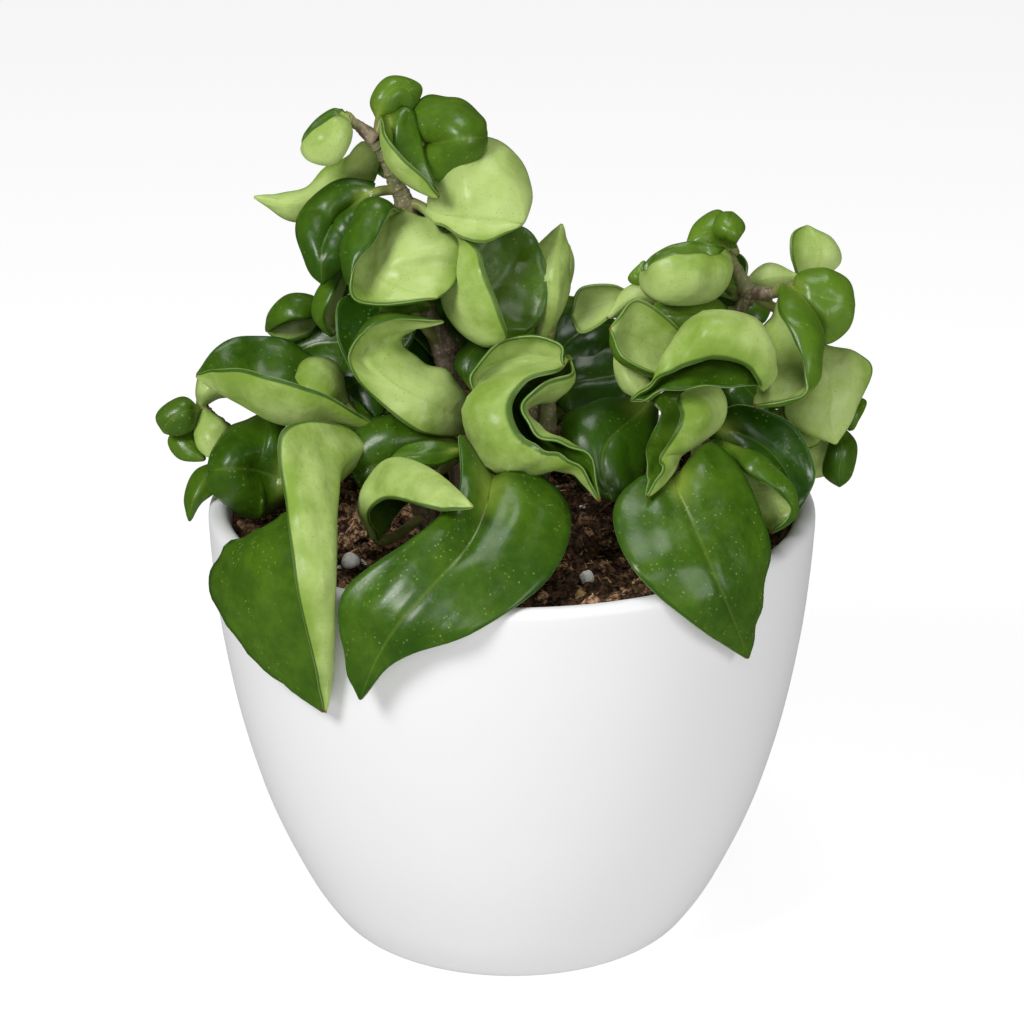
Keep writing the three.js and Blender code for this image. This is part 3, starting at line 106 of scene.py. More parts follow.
# The leaves of each node, each in the order of Blade's fields
LEAVES = {
    "crown_ring_leaf": [Blade(
        [[-30.3, 84.5, 31.5], [-26.5, 86, 28.5]],
        [[-22.5, 87, 28], [-20, 85.8, 26.5], [-16.5, 85.3, 33], [-12.5, 86, 38.5], [-8.5, 86.5, 37.5],
         [-5.9, 87, 31.5]],
        [[-24.5, 92.5, 28], [-19.5, 96, 27.5], [-12.8, 95.6, 28], [-7.3, 91, 29]],
        [[-20.3, 81.5, 30], [-17, 76.8, 31], [-11, 79.8, 30.5], [-7, 82.7, 30]],
        [-150, -125, -75, -40], [-160, -125, -75, -40],
    )],
    "crown_fold_leaf": [Blade(
        [[-31.3, 87, 32.7]],
        [[-29.3, 91.5, 33], [-27.2, 86, 34.5], [-27.8, 80.5, 36.5], [-23.5, 76, 38], [-16.7, 72.8, 40]],
        [[-24.2, 93.6, 33], [-21.7, 88, 33], [-19.9, 80.2, 36]],
        [[-29.6, 88.3, 41], [-26.3, 82.8, 43.5], [-20.9, 77.8, 42.5]],
        [-50, -40, 0], [80, 90, 60],
    )],
    "crown_bud": [Blade(
        [[-31.2, 86.5, 32.5]],
        [[-30.5, 91.5, 32], [-30, 95, 35], [-27, 98, 34.5], [-23.5, 97, 32], [-22.3, 94, 29.5]],
        [[-32.4, 95, 31], [-28.5, 99.8, 29.5], [-21.5, 98.6, 28]],
        [[-27.5, 92.5, 33], [-26, 93.5, 32], [-24.3, 92.8, 31]],
        [-90], [-60],
    )],
    "fork_cup_leaf": [Blade(
        [[-37, 90.5, 33]],
        [[-38.5, 91.5, 33], [-38, 86, 36], [-41, 80.8, 37], [-46, 81.5, 37], [-48.8, 84.5, 36]],
        [[-41.5, 91, 38.5], [-45, 89, 39], [-47.5, 86.5, 38]],
        [[-41, 93.2, 33], [-45, 90.8, 33], [-48, 87.3, 34]],
        [120, 120, 80], [40],
    )],
    "saddle_leaf": [Blade(
        [[-24.7, 70.5, 27.3]],
        [[-25.5, 69, 29.5], [-29.3, 65.5, 33.5], [-31, 60, 35.5], [-31, 54.5, 38], [-26, 51.5, 41],
         [-17.3, 49.4, 42.5]],
        [[-28.3, 70, 41], [-32.3, 62.5, 45], [-37, 56, 46.5], [-35, 48.4, 46]],
        [[-21, 68, 31], [-13.7, 63.5, 32], [-11.1, 57.8, 34], [-13.7, 52.5, 38]],
        [-230, -215, -165, -50], [100, 110, 100, 60],
    )],
    "left_cup_leaf": [Blade(
        [[-26.3, 74.5, 28.5], [-29, 74.5, 29.5]],
        [[-32, 73.8, 31], [-36.5, 71, 28.5], [-41, 67, 30.5], [-43.5, 62, 35], [-44, 57, 36.5],
         [-43.8, 52.6, 34]],
        [[-35, 68, 32], [-37, 64.5, 33], [-38, 60, 34], [-40, 56, 35]],
        [[-37.5, 77, 29], [-46.3, 73, 29], [-49.7, 64.5, 30.5], [-47.8, 57.5, 33]],
        [-100, -100, -60, -30], [-130, -120, -70, -40],
    )],
    "long_tip_leaf": [Blade(
        [[-30, 83, 31]],
        [[-31, 84, 27], [-36, 79, 26], [-43, 74, 25], [-51, 71, 25], [-60, 73, 24]],
        [[-35, 84.8, 22], [-42, 79.5, 21], [-50, 74.2, 22]],
        [[-33, 75, 22], [-41, 70, 21], [-50, 67.3, 22]],
        [60], [60],
    )],
    "broad_pale_leaf": [Blade(
        [[-25, 71, 27.5], [-22, 71.2, 28.5]],
        [[-19, 69.5, 30], [-14, 68.3, 33.5], [-9, 67.3, 35.5], [-4, 66.8, 36.3], [0, 66.6, 36],
         [2.8, 66.6, 35]],
        [[-15, 65.9, 35], [-10.5, 63.4, 37.5], [-6, 62.7, 38.3], [-1, 64.7, 37.3]],
        [[-18, 77, 27], [-12, 85.5, 25], [-2, 84.9, 25], [4.4, 75.5, 27.5]],
        [10], [60, 90, 90, 70],
    )],
    "shell_leaf": [Blade(
        [[-14.7, 35, 14.8], [-8, 36.5, 18]],
        [[-2, 39.5, 24], [-10, 41, 27.5], [-15.8, 48, 27.5], [-14, 58, 26.5], [-15, 65, 28]],
        [[-1.5, 42, 38], [-5.2, 52, 41], [-8.5, 61, 38]],
        [[6, 44, 24], [8, 55, 24], [2, 66.2, 24]],
        [70, 80, 60], [50, 60, 40],
    )],
    "tucked_leaf": [Blade(
        [[-20.3, 48, 19.3]],
        [[-20, 48, 26], [-24, 49.5, 29], [-28.5, 48.5, 29], [-30.5, 46.5, 28]],
        [[-23.5, 46.4, 28], [-28, 45.8, 28]],
        [[-24, 51, 27], [-29, 50.5, 27]],
        [-50], [-50],
    )],
    "hook_leaf": [Blade(
        [[-12.6, 19.5, 9.6], [-10.5, 20, 17]],
        [[-9, 21, 24], [-18, 24.5, 35], [-28, 29.5, 38], [-33.5, 35.5, 37], [-29.5, 41.5, 36],
         [-15.5, 44.2, 38]],
        [[-14, 31, 28], [-21, 34.5, 30], [-25, 38.5, 31], [-23.5, 42, 33]],
        [[-20, 18.3, 36], [-33, 28, 39], [-38.2, 36.3, 41], [-30, 44, 43]],
        [60, 60, 40, 10], [30, 10, -40, -130],
    )],
    "shade_leaf": [Blade(
        [[-15.9, 38, 15.6], [-20.8, 43.5, 22]],
        [[-26, 50, 22], [-31.5, 45.5, 27], [-34, 39.5, 29], [-37, 32, 31]],
        [[-22.7, 42, 23], [-28, 35, 25.5]],
        [[-38.8, 49.5, 28], [-40.3, 41.5, 31]],
        [30], [30],
    )],
    "deep_left_leaf": [Blade(
        [[-15.8, 37, 14.2], [-20, 39, 9.5]],
        [[-25, 38, 7], [-31.5, 38.7, 9.5], [-38.5, 39, 10.5], [-45.5, 38.3, 9.5], [-52, 35.5, 7.5]],
        [[-29, 31.5, 10], [-38, 31.5, 11.5], [-46.5, 31.5, 11]],
        [[-29.5, 43.5, 6.5], [-38.5, 45.5, 7], [-47.5, 44, 5.5]],
        [-50], [-60],
    )],
    "low_shade_leaf": [Blade(
        [[-14.4, 30.5, 12.3], [-23, 31, 10]],
        [[-27, 30, 14], [-33, 30.5, 16.5], [-38.5, 28.5, 16.5], [-41.5, 25, 15]],
        [[-31, 22, 19.5], [-37, 21.5, 17.5]],
        [[-33, 36, 14.5], [-39, 34.5, 14]],
        [-40], [-60],
    )],
    "hood_leaf": [Blade(
        [[-22.3, 56, 22.5], [-30, 58, 19]],
        [[-38.5, 57, 18], [-42.3, 54, 22.5], [-45.5, 49.3, 24], [-45.5, 44.7, 24.5], [-41.5, 40.6, 24]],
        [[-40.3, 53, 27.5], [-42.2, 49, 29], [-43.5, 45, 27.5]],
        [[-38, 53, 21], [-39.5, 48, 21], [-40, 43.5, 22]],
        [-50], [-60],
    ), Blade(
        [[-34, 57.5, 19], [-39, 51, 11]],
        [[-43, 47, 9], [-47, 50, 12], [-52, 50, 13], [-56, 46, 12.5], [-56.7, 41.6, 11]],
        [[-46.5, 45, 16], [-50.5, 44.8, 17.5], [-54, 43.3, 15]],
        [[-46, 42, 10], [-50, 40, 10], [-53.5, 39.8, 10.5]],
        [-60], [-60],
    )],
    "upright_leaf": [Blade(
        [[7.8, 22, 20], [10.5, 32, 17]],
        [[7, 40, 20], [9.8, 48, 24], [10.2, 57, 24], [11.5, 66.8, 20]],
        [[12, 49, 19], [12.9, 59, 18]],
        [[5, 50, 19], [5, 59, 18]],
        [50], [50],
    ), Blade(
        [[8.5, 40, 20.5]],
        [[10, 46, 18], [12, 52.5, 17], [12.9, 57.5, 16.5], [12.9, 62.2, 16.5]],
        [[13.6, 53.5, 15], [14.2, 58, 15]],
        [[10.8, 53, 15], [11.2, 59, 15]],
        [-50], [-30],
    )],
    "curled_tip_leaf": [Blade(
        [[-20, -0.5, 12.5], [-27, -5.5, 24.5]],
        [[-31.5, -6, 36], [-35, 2, 41], [-29, 11.7, 43.5], [-20, 10, 52], [-8.9, 0.9, 66]],
        [[-33, 0.3, 48], [-28, 3.3, 53], [-17.5, 0.8, 63]],
        [[-29.5, -4, 32.5], [-25.5, 1, 32], [-18.5, 5.5, 52]],
        [40, 50, 40], [40, 50, 30],
    )],
    "arm_leaf": [Blade(
        [[-22.3, 7, 18.7], [-16, 10, 28]],
        [[-12, 14, 36], [-17.5, 13.5, 39], [-23, 12.8, 41], [-28, 12.5, 40]],
        [[-17, 11, 40], [-22.5, 11.3, 42]],
        [[-18, 16.2, 38], [-24, 15.5, 38]],
        [30], [30],
    )],
    "bean_leaf": [Blade(
        [[-12.3, 14, 8], [-11.5, 15, 18]],
        [[-13, 15.5, 27], [-20, 14.5, 31.5], [-27, 11.5, 33], [-33, 10.3, 34], [-36.5, 8, 32]],
        [[-20, 11, 30], [-28, 7.5, 31], [-33.3, 5.5, 32]],
        [[-20, 20.8, 27], [-28, 22, 27], [-36.3, 17, 28]],
        [-100, -110, -80], [-130, -165, -140],
    )],
    "folded_hanging_leaf": [Blade(
        [[-26, 14.5, 24], [-30, 13, 30]],
        [[-35, 15, 34], [-39.5, 11, 44], [-40, 3, 52], [-40.2, -10, 58], [-40.6, -23, 58.5],
         [-41.5, -36, 53], [-43.3, -46.8, 46]],
        [[-44, 20.6, 42], [-53.6, 17.5, 52], [-51.9, 0, 60], [-49.3, -19, 63], [-45.3, -36, 55]],
        [[-41, 6, 38], [-50, 0, 40], [-66, -8.5, 34], [-69.3, -19, 32], [-59, -34.3, 38]],
        [-20, 10, 70, 60, 30], [-20, -30, -40, -40, -20],
    )],
    "boat_leaf": [Blade(
        [[-30.5, 18.3, 26.9]],
        [[-32, 20, 28], [-42, 21.5, 30], [-53, 20.5, 29], [-63, 25.5, 27], [-73.3, 31.7, 26]],
        [[-40, 25.3, 37], [-52, 30, 41], [-65, 33, 36]],
        [[-42, 32, 17], [-53, 39.8, 14], [-66, 39.3, 16]],
        [60, 70, 40], [50, 60, 40],
    ), Blade(
        [[-35.5, 21, 27.5]],
        [[-39, 25.5, 24], [-40.5, 30, 27.5], [-44, 33, 29], [-50.3, 31, 28]],
        [[-41.5, 34.5, 23], [-47.5, 35.3, 24]],
        [[-43, 26, 31], [-48, 28, 31.5]],
        [60], [40],
    )],
    "round_cup_leaf": [Blade(
        [[-50.5, 5.5, -7], [-47, 8, 4]],
        [[-50, 8, 15], [-54.5, 8.3, 13.5], [-59.5, 9.5, 14.5], [-64, 10, 19], [-67.5, 9.8, 18.5],
         [-70, 9, 12.5]],
        [[-54.5, 0.8, 9], [-59, -1.4, 9], [-65, 1, 10], [-69, 4.7, 11]],
        [[-52.5, 19.5, 9], [-58, 22, 8.5], [-64.3, 20, 9.5], [-68.7, 15, 10.5]],
        [-120, -130, -80, -50], [-140, -150, -90, -50],
    )],
    "rim_side_leaf": [Blade(
        [[-60, 15, -4.8], [-64, 13, -2]],
        [[-67, 11, 1], [-70, 9, 4], [-73, 4, 6], [-74.7, -2.2, 5]],
        [[-68.5, 5.5, 4], [-72, 2.3, 5]],
        [[-73, 9.5, 2], [-75.6, 3, 3]],
        [-20], [-20],
    )],
    "left_tip_buds": [Blade(
        [[-71, 23.8, 0.4]],
        [[-73, 23.5, 2], [-75.5, 23.3, 7], [-79, 21.3, 7], [-80.5, 18.3, 5]],
        [[-74, 19.5, 5], [-77.5, 17.8, 5]],
        [[-76.5, 26.3, 3], [-81.8, 22.5, 3]],
        [-50], [-80],
    ), Blade(
        [[-71, 23.8, 0.4]],
        [[-74, 21, -1], [-76.5, 17, 2], [-74.5, 13.5, 3], [-71, 12, 3]],
        [[-73, 18, 1], [-72, 15, 2]],
        [[-79.3, 17, 0], [-77, 12.6, 1]],
        [-20], [-40],
    ), Blade(
        [[-71, 23.8, 0.4]],
        [[-71, 23, 1.5], [-70, 19, 6], [-69, 15.5, 7], [-69.5, 12.3, 6]],
        [[-73.4, 19, 4], [-72.6, 14.8, 5]],
        [[-66, 19.7, 3], [-66, 15, 4]],
        [60], [60],
    ), Blade(
        [[-71, 23.8, 0.4]],
        [[-71.8, 25, 1], [-70.5, 28, 4], [-66, 31, 3], [-60, 35, -2]],
        [[-68, 26.5, 1], [-62, 28, 0]],
        [[-73, 29, 1], [-70, 34, 0]],
        [50], [50],
    )],
    "broad_hanging_leaf": [Blade(
        [[5.5, 0, 12], [1, 5, 30]],
        [[-4.5, 8, 43], [-6, 0, 53], [-11, -9, 61], [-19, -17.5, 66.5], [-26.5, -26.5, 67], [-31, -34, 63],
         [-35.2, -43.8, 57]],
        [[3.5, 10.5, 42], [13.3, 0, 49], [8.5, -15, 62], [-9, -27.8, 68.5], [-27, -34.5, 64]],
        [[-12, 17.5, 45], [-12.5, 4, 56], [-24, -7, 62], [-38.5, -18.5, 61], [-38.8, -33, 59]],
        [-60, -50, -20, -10, 0], [-20, -30, -20, -10, 0],
    )],
    "ruffled_leaf": [Blade(
        [[8, 27.5, 21], [11.5, 33.5, 25]],
        [[12.6, 35.3, 33], [7.5, 33, 30], [2, 29.5, 28.5], [-0.6, 23.5, 30.5], [2.5, 17, 33.5], [9, 13, 39],
         [15.5, 9.5, 46], [20.6, 2, 50]],
        [[13.9, 31.8, 43], [7, 29.8, 45], [2.5, 25, 48.5], [4.7, 19, 51], [11, 16.2, 53], [17.3, 13, 53]],
        [[10.5, 32.7, 44], [3.2, 30, 47], [-0.4, 25, 49.5], [1.6, 18, 51.5], [8, 14, 53], [15.3, 10.8, 53]],
        [100, 130, 40, 60, 40, 30], [40, 80, 185, 190, 120, 60],
    ), Blade(
        [[-4, 27.5, 31]],
        [[-7, 26.5, 35], [-7, 31.5, 31], [-2, 34.5, 28.5], [4, 35.5, 29], [9, 35.2, 33], [12, 34, 40]],
        [[-4, 28, 34], [0, 30, 34], [5, 31.3, 35.5], [9.5, 32.3, 39]],
        [[-9.6, 31.5, 35.5], [-3.8, 38, 34.5], [4, 40.7, 35.5], [10.3, 38.8, 38]],
        [-40], [-60, -60, -60],
    )],
    "ruffle_side_leaf": [Blade(
        [[-13.6, 28, 12.3], [-10, 27, 18]],
        [[-8, 28, 24], [-11, 32.5, 26], [-8.5, 37.5, 25], [-1, 40, 21]],
        [[-12.8, 34, 23], [-9, 40, 21]],
        [[-7.5, 32, 26], [-4, 36, 24]],
        [-50], [-40],
    )],
    "dark_round_leaf": [Blade(
        [[45.5, 22, 4.7], [39, 27, 8]],
        [[32, 25, 15], [27, 20.5, 25], [21.5, 15, 30], [21, 9, 31.5], [23.3, 2.2, 33]],
        [[33.5, 20.5, 20], [32, 14, 25], [29, 6.5, 29]],
        [[21, 26, 20], [12, 20.8, 25], [14.8, 8, 30]],
        [-60], [-60, -90, -60],
    )],
    "deep_leaves": [Blade(
        [[8, 24, 20.3], [6, 29, 9]],
        [[9, 33, 1], [13, 39, 0], [19, 42.5, -2], [26, 43, -6]],
        [[9.5, 43, -3], [17, 47.5, -6]],
        [[16, 34, 2], [22, 37, 0]],
        [-40], [-60],
    ), Blade(
        [[7, 16, 18], [8.5, 23, 6]],
        [[10, 28, 2], [16, 30, 4], [24, 31.5, 2], [31, 36, -2]],
        [[13.5, 37, 0], [23, 39, -2]],
        [[14.5, 22.5, 7], [26, 25, 5]],
        [-50], [-60],
    )],
    "great_fold_leaf": [Blade(
        [[51.5, 43.5, 14.6], [57.5, 35, 25]],
        [[58.5, 29, 37], [57.5, 34, 38], [53.5, 37, 39.5], [46.5, 37.3, 40], [38.5, 33, 41],
         [32.5, 28.8, 42], [27.3, 25.5, 43]],
        [[56.6, 29.6, 41], [53, 29.3, 45], [45, 29.2, 47], [37, 28.4, 46.5], [31.5, 26.8, 45]],
        [[57.3, 30.3, 46], [53.8, 34.2, 49], [46.5, 35.6, 51], [38, 33.2, 49.5], [31.7, 29.3, 46]],
        [10], [150, 235, 235, 170, 60],
    )],
    "draped_leaf": [Blade(
        [[60.5, 50.8, 18.9]],
        [[63.3, 51.7, 21.5], [69.2, 45, 25], [71, 38, 28], [69.7, 31.5, 31], [65, 26, 35],
         [55.8, 24.5, 35]],
        [[60.5, 46, 17], [58, 40, 17], [57.5, 34, 20], [57, 29, 27]],
        [[62, 46.8, 31], [65.3, 40.8, 36], [68.2, 33, 38], [67, 26.6, 38]],
        [50], [-120, -120, -90, -20],
    )],
    "bright_cup_leaf": [Blade(
        [[65, 52.4, 19.4]],
        [[65.8, 51.8, 20.5], [69, 50.7, 24], [72.5, 49.3, 23.5], [76, 48.7, 23], [79.3, 47.8, 20]],
        [[67, 55.3, 18], [72, 56.3, 17.5], [77.5, 53.3, 17.5]],
        [[69, 43.5, 19.5], [72.5, 39.2, 20], [77.5, 42.5, 18.5]],
        [-90, -110, -70], [-80, -100, -60],
    )],
    "lip_leaf": [Blade(
        [[51.4, 56.8, 19.5]],
        [[49.8, 59.5, 21.5], [49.5, 54, 25.5], [46, 49.3, 28], [38, 48, 29.8], [31.7, 50.5, 29.5],
         [29.8, 55.3, 28]],
        [[47.5, 59.2, 30], [43, 59.7, 34.5], [37, 59.8, 36], [32.2, 57, 33.5]],
        [[46.8, 61.4, 23.5], [42.5, 62.4, 24], [36.5, 61.3, 25], [31.5, 58.3, 26.5]],
        [110, 120, 120, 90], [30],
    )],
    "right_buds": [Blade(
        [[51.6, 60, 16.5]],
        [[50.8, 62, 18.4], [49.6, 64.6, 24.5], [50.4, 67.2, 23.5], [51, 69.2, 18.5]],
        [[47.3, 64.9, 20.5], [48, 68.4, 19]],
        [[52.1, 63.1, 24], [53.6, 66, 20.5]],
        [-80], [-70],
    ), Blade(
        [[51.5, 60.4, 16.8]],
        [[49.5, 61, 17], [46.5, 64.5, 19], [43, 63.5, 19], [40.5, 61.7, 18]],
        [[46.5, 61.5, 19], [43, 61, 19]],
        [[48.5, 69.3, 14.5], [43.2, 67.2, 14.5]],
        [-30], [-50],
    )],
    "scoop_leaf": [Blade(
        [[50.2, 38.5, 12.6], [45, 38, 20]],
        [[40, 37, 27], [33.5, 38.5, 28], [27, 41.5, 30], [22.6, 42.5, 34]],
        [[38, 42.8, 31], [29, 49, 33]],
        [[35, 32, 37], [26, 35.5, 39]],
        [-50], [-110],
    ), Blade(
        [[38, 38, 27], [30, 40, 28]],
        [[25, 39, 26], [25.5, 34, 30], [28, 29, 32], [32, 25.5, 31]],
        [[23.8, 34.5, 28], [25.8, 28.5, 29]],
        [[30, 34, 30], [32, 29.5, 31]],
        [40], [30],
    )],
    "inner_cup_leaf": [Blade(
        [[52.8, 46.5, 15.8]],
        [[49, 46.5, 15], [45, 46, 22], [38, 45.8, 24], [32, 46.5, 21]],
        [[45, 42, 20], [38, 42, 23]],
        [[45.5, 50.3, 16], [37, 50.6, 17]],
        [-50], [-60],
    )],
    "pale_cluster": [Blade(
        [[51, 41, 13.5], [40, 49, 9]],
        [[27, 49.5, 12], [22, 48.3, 11.5], [17, 46.3, 12], [13.7, 45.5, 14.5]],
        [[23.5, 52.3, 14], [16, 51.7, 15]],
        [[22, 44.8, 15], [16, 41.5, 16.5]],
        [-60], [-60],
    ), Blade(
        [[38, 49.3, 10]],
        [[36, 49, 14.5], [31, 50, 18], [26, 48.3, 19.5], [22, 44.8, 20]],
        [[32, 53, 15.5], [26.2, 51.3, 17]],
        [[30.5, 47.3, 17], [25.5, 45.5, 18]],
        [40], [40],
    ), Blade(
        [[35, 50, 11]],
        [[31, 52, 17], [28.6, 54.5, 18], [30.8, 58, 16]],
        [[27.2, 54, 16]],
        [[30.5, 54.5, 18]],
        [-40], [-30],
    )],
    "heart_leaf": [Blade(
        [[41.3, 4, 21], [38, 8, 36]],
        [[37, 7, 44], [40, 1, 49.5], [43, -6, 54], [46, -13, 56.5], [50, -22.5, 54.5], [54.7, -34.2, 43]],
        [[46, 15.9, 40], [55.5, 4.5, 44], [59.3, -9, 46], [57.5, -21, 46]],
        [[29.5, 8, 46], [23.8, -1, 52], [29, -14, 60], [41.5, -25.3, 58]],
        [-40, -30, -20, -10], [-30, -30, -30, -10],
    )],
    "ruffled_hanging_leaf": [Blade(
        [[47.7, 29, 8.4], [44.5, 32, 16]],
        [[44, 30, 23], [48.7, 26.5, 28], [48, 22, 30], [43.3, 17.5, 33], [39, 13.8, 38], [36.6, 9, 46],
         [31, 3.3, 53.5]],
        [[38.8, 26.5, 38], [39.5, 22.5, 42], [37.8, 17.5, 43.5], [34.6, 13.2, 46.5], [34.4, 9.5, 50.5]],
        [[33.5, 26.5, 29], [34.6, 22.5, 31], [32.5, 17.5, 36], [31.3, 14, 42.5], [31.8, 9.3, 50]],
        [90, 100, 90, 60, 30], [40, 40, 20, 20, 20],
    )],
    "rim_cup_leaf": [Blade(
        [[43, 12, 26], [45, 15, 28.5]],
        [[48, 15.5, 31], [56, 13, 35], [62, 8, 36], [65.6, 0, 36], [60, -4.8, 37]],
        [[50, 6, 30], [54, 1, 30], [58, -3, 33]],
        [[54, 9.6, 40], [60, 6, 41.5], [65, 0.7, 39]],
        [30], [-110],
    )],
    "dark_cup_leaf": [Blade(
        [[42.5, 9.5, 24.5], [43, 17, 21]],
        [[46, 20, 20], [53, 18, 22], [60, 13.5, 24], [64.5, 6.5, 26], [65.7, -0.8, 27]],
        [[52.5, 24.5, 25], [64, 20.5, 25], [70, 9, 25]],
        [[51, 12, 26], [56, 8, 28], [62, 2, 28]],
        [60, 70, 50], [20],
    )],
    "deep_right_leaf": [Blade(
        [[52.5, 27, 6], [51.5, 30.5, 10]],
        [[50.5, 32, 13.5], [53, 29.5, 15.5], [56.5, 26, 15.5], [59.5, 22, 15]],
        [[56.5, 32.8, 13], [61.5, 27, 13.5]],
        [[48.8, 27, 15], [52.5, 21.5, 15.5]],
        [-40], [-40],
    )],
    "pale_edge_leaf": [Blade(
        [[56, 50, 17.3], [64, 45, 14]],
        [[69, 38, 15], [72.5, 33, 18], [73.5, 27, 21], [73.3, 21, 21.5], [75, 15.5, 20]],
        [[66, 33, 16], [63.5, 27, 19], [64, 21, 20]],
        [[78.5, 37, 14], [83.2, 33, 14], [79.3, 23.5, 17.5]],
        [40], [40],
    )],
    "rear_right_leaves": [Blade(
        [[53.6, 50.3, 16.6]],
        [[54, 52, 9], [59.5, 54, 12], [67, 54.5, 10]],
        [[60, 50.5, 9]],
        [[59, 57.3, 9]],
        [50], [50],
    ), Blade(
        [[62, 54.3, 11.5]],
        [[68, 53.5, 3], [71, 58, 7], [71, 62.5, 7], [68, 66.3, 5]],
        [[75.6, 57.5, 3], [74.3, 62.6, 3]],
        [[65, 58, 10], [65, 64, 10]],
        [60], [-60],
    )],
    "edge_shoot": [Blade(
        [[73, 22.7, 7.3]],
        [[75, 26, 9], [79.5, 23.5, 12], [78.5, 18.8, 12]],
        [[81.8, 25.5, 9]],
        [[76.5, 21, 12]],
        [40], [40],
    ), Blade(
        [[73, 22.7, 7.3]],
        [[75, 20, 8], [76.3, 15, 13], [75.6, 10, 13], [75.8, 5.8, 11]],
        [[79.4, 15.8, 9], [78.7, 9, 10]],
        [[73.3, 15, 11], [72.2, 9, 11]],
        [-30], [-30],
    ), Blade(
        [[73, 22.7, 7.3]],
        [[74.5, 17, 6], [71, 13, 9], [69, 7.8, 8]],
        [[65.8, 15.5, 7]],
        [[73.3, 9.5, 7]],
        [30], [30],
    )],
    "lower_pale_leaf": [Blade(
        [[59, 25.8, 5.3]],
        [[60, 21.5, 10], [64.5, 20.5, 12], [69, 19.3, 12.5], [73, 18.3, 11.5]],
        [[64.5, 15.5, 12.5], [69.5, 15.2, 12.5]],
        [[64.5, 24.3, 10.5], [70, 23.3, 11]],
        [30], [30],
    )],
}

# Course of each stem and side arm, with the radius at each point
STEMS = {
    "tall": [[-10, -20, -2, 3.3], [-11, 0, 4, 3.2], [-12.5, 20, 9.5, 3], [-15, 36, 15, 3.1],
      [-20, 47, 19, 2.1], [-24.5, 70, 27, 2.2], [-27, 76, 29, 1.7], [-29, 82, 31, 1.7],
      [-31.5, 86, 32.5, 1.9]],
    "tall_fork": [[-31.5, 86, 32.5, 2], [-35, 89, 33, 1.3], [-38.3, 91.3, 33, 1]],
    "right": [[38, -16, -11.6, 2.6], [41, 0, -5, 2.4], [45, 20, 4, 2.2], [50, 38, 12, 1.8],
      [53, 47, 16, 1.5], [54.5, 50.5, 17, 2], [52, 56, 19, 1.4], [50, 60, 20.5, 1.1]],
    "right_arm": [[54.5, 50.5, 17, 1.8], [61, 50.8, 19, 1.3], [65, 51.8, 20, 1]],
    "left": [[-40, -16, -10, 3], [-46, 0, -8, 2.6], [-56, 12, -6, 2.2], [-65, 18, -3, 1.8],
      [-70, 22, 0, 1.6], [-72, 24.5, 1, 1.4]],
    "low_left": [[-18, -22, 4.3, 3], [-19, -8, 9, 2.8], [-22, 6, 18, 2.4], [-27, 15, 25, 2],
      [-31, 18.5, 27, 1.8]],
    "centre": [[4, -21.6, 2.5, 3], [5, -8, 8, 2.8], [6, 6, 15, 2.4], [8, 18, 19, 2.2], [8, 28, 21, 2]],
    "low_right": [[40, -23.4, 7, 3], [40, -10, 12, 2.8], [41, 2, 20, 2.4], [43, 12, 26, 2]],
    "right_low": [[47.3, 28, 7, 1.6], [58, 26, 5, 1.5], [68, 24, 6, 1.4], [74, 22.5, 7.5, 1.2]],
}

# Each stem with its side arms
STEM_NODES = {
    "tall_stem": ["tall", "tall_fork"],
    "right_stem": ["right", "right_arm", "right_low"],
    "left_stem": ["left"],
    "low_left_stem": ["low_left"],
    "centre_stem": ["centre"],
    "low_right_stem": ["low_right"],
}

# Shoots at the back, in the part's own frame. Each leaf: place along the stem, heading round the
# plant in degrees (90 is straight back), climb, length, width and curl of its margins.
SHOOTS = {
    "back_left_shoot": {
        "stem": [[-24, 19, 90, 2.4], [-26, 25, 108, 2.2], [-28, 32, 126, 1.9], [-26, 38, 143, 1.5]],
        "leaves": [
            [0.3, 195, 45, 26, 22, 120], [0.42, 115, 35, 30, 24, 60], [0.58, 15, 45, 24, 21, 130],
            [0.75, 165, 40, 25, 21, 130], [0.85, 75, 40, 25, 21, 120], [1, 120, 60, 21, 18, -130],
        ],
    },
    "back_middle_shoot": {
        "stem": [[6, 19, 90, 2.4], [6, 23, 104, 2.2], [4, 30, 118, 1.9], [5, 34, 130, 1.5]],
        "leaves": [
            [0.45, 75, 35, 32, 26, 40], [0.5, 150, 35, 24, 21, 130], [0.6, -25, 35, 23, 20, 120],
            [0.85, 110, 35, 26, 22, 150], [1, 50, 40, 22, 19, -120],
        ],
    },
    "back_right_shoot": {
        "stem": [[36, 20, 90, 2.3], [38, 25, 105, 2.1], [42, 32, 121, 1.8], [44, 36, 132, 1.4]],
        "leaves": [
            [0.5, 55, 40, 31, 25, 60], [0.6, 130, 40, 24, 20, 130], [0.7, -5, 35, 22, 20, 140],
            [0.85, 100, 40, 24, 20, 120], [1, 30, 50, 19, 17, -130],
        ],
    },
}

# Small leaves behind the tall and the right stem, given as the leaves of the shoots
REAR_LEAVES = {
    "tall_stem": [
        [0.27, 100, 95, 25, 21, 60], [0.36, 95, 85, 24, 20, 60],
        [0.58, 65, 25, 24, 21, 140], [0.74, 85, 30, 22, 19, 140],
    ],
    "right_stem": [[0.2, 25, 75, 27, 22, 50], [0.45, 120, 30, 24, 20, 140], [0.66, 130, 30, 22, 19, 130]],
}

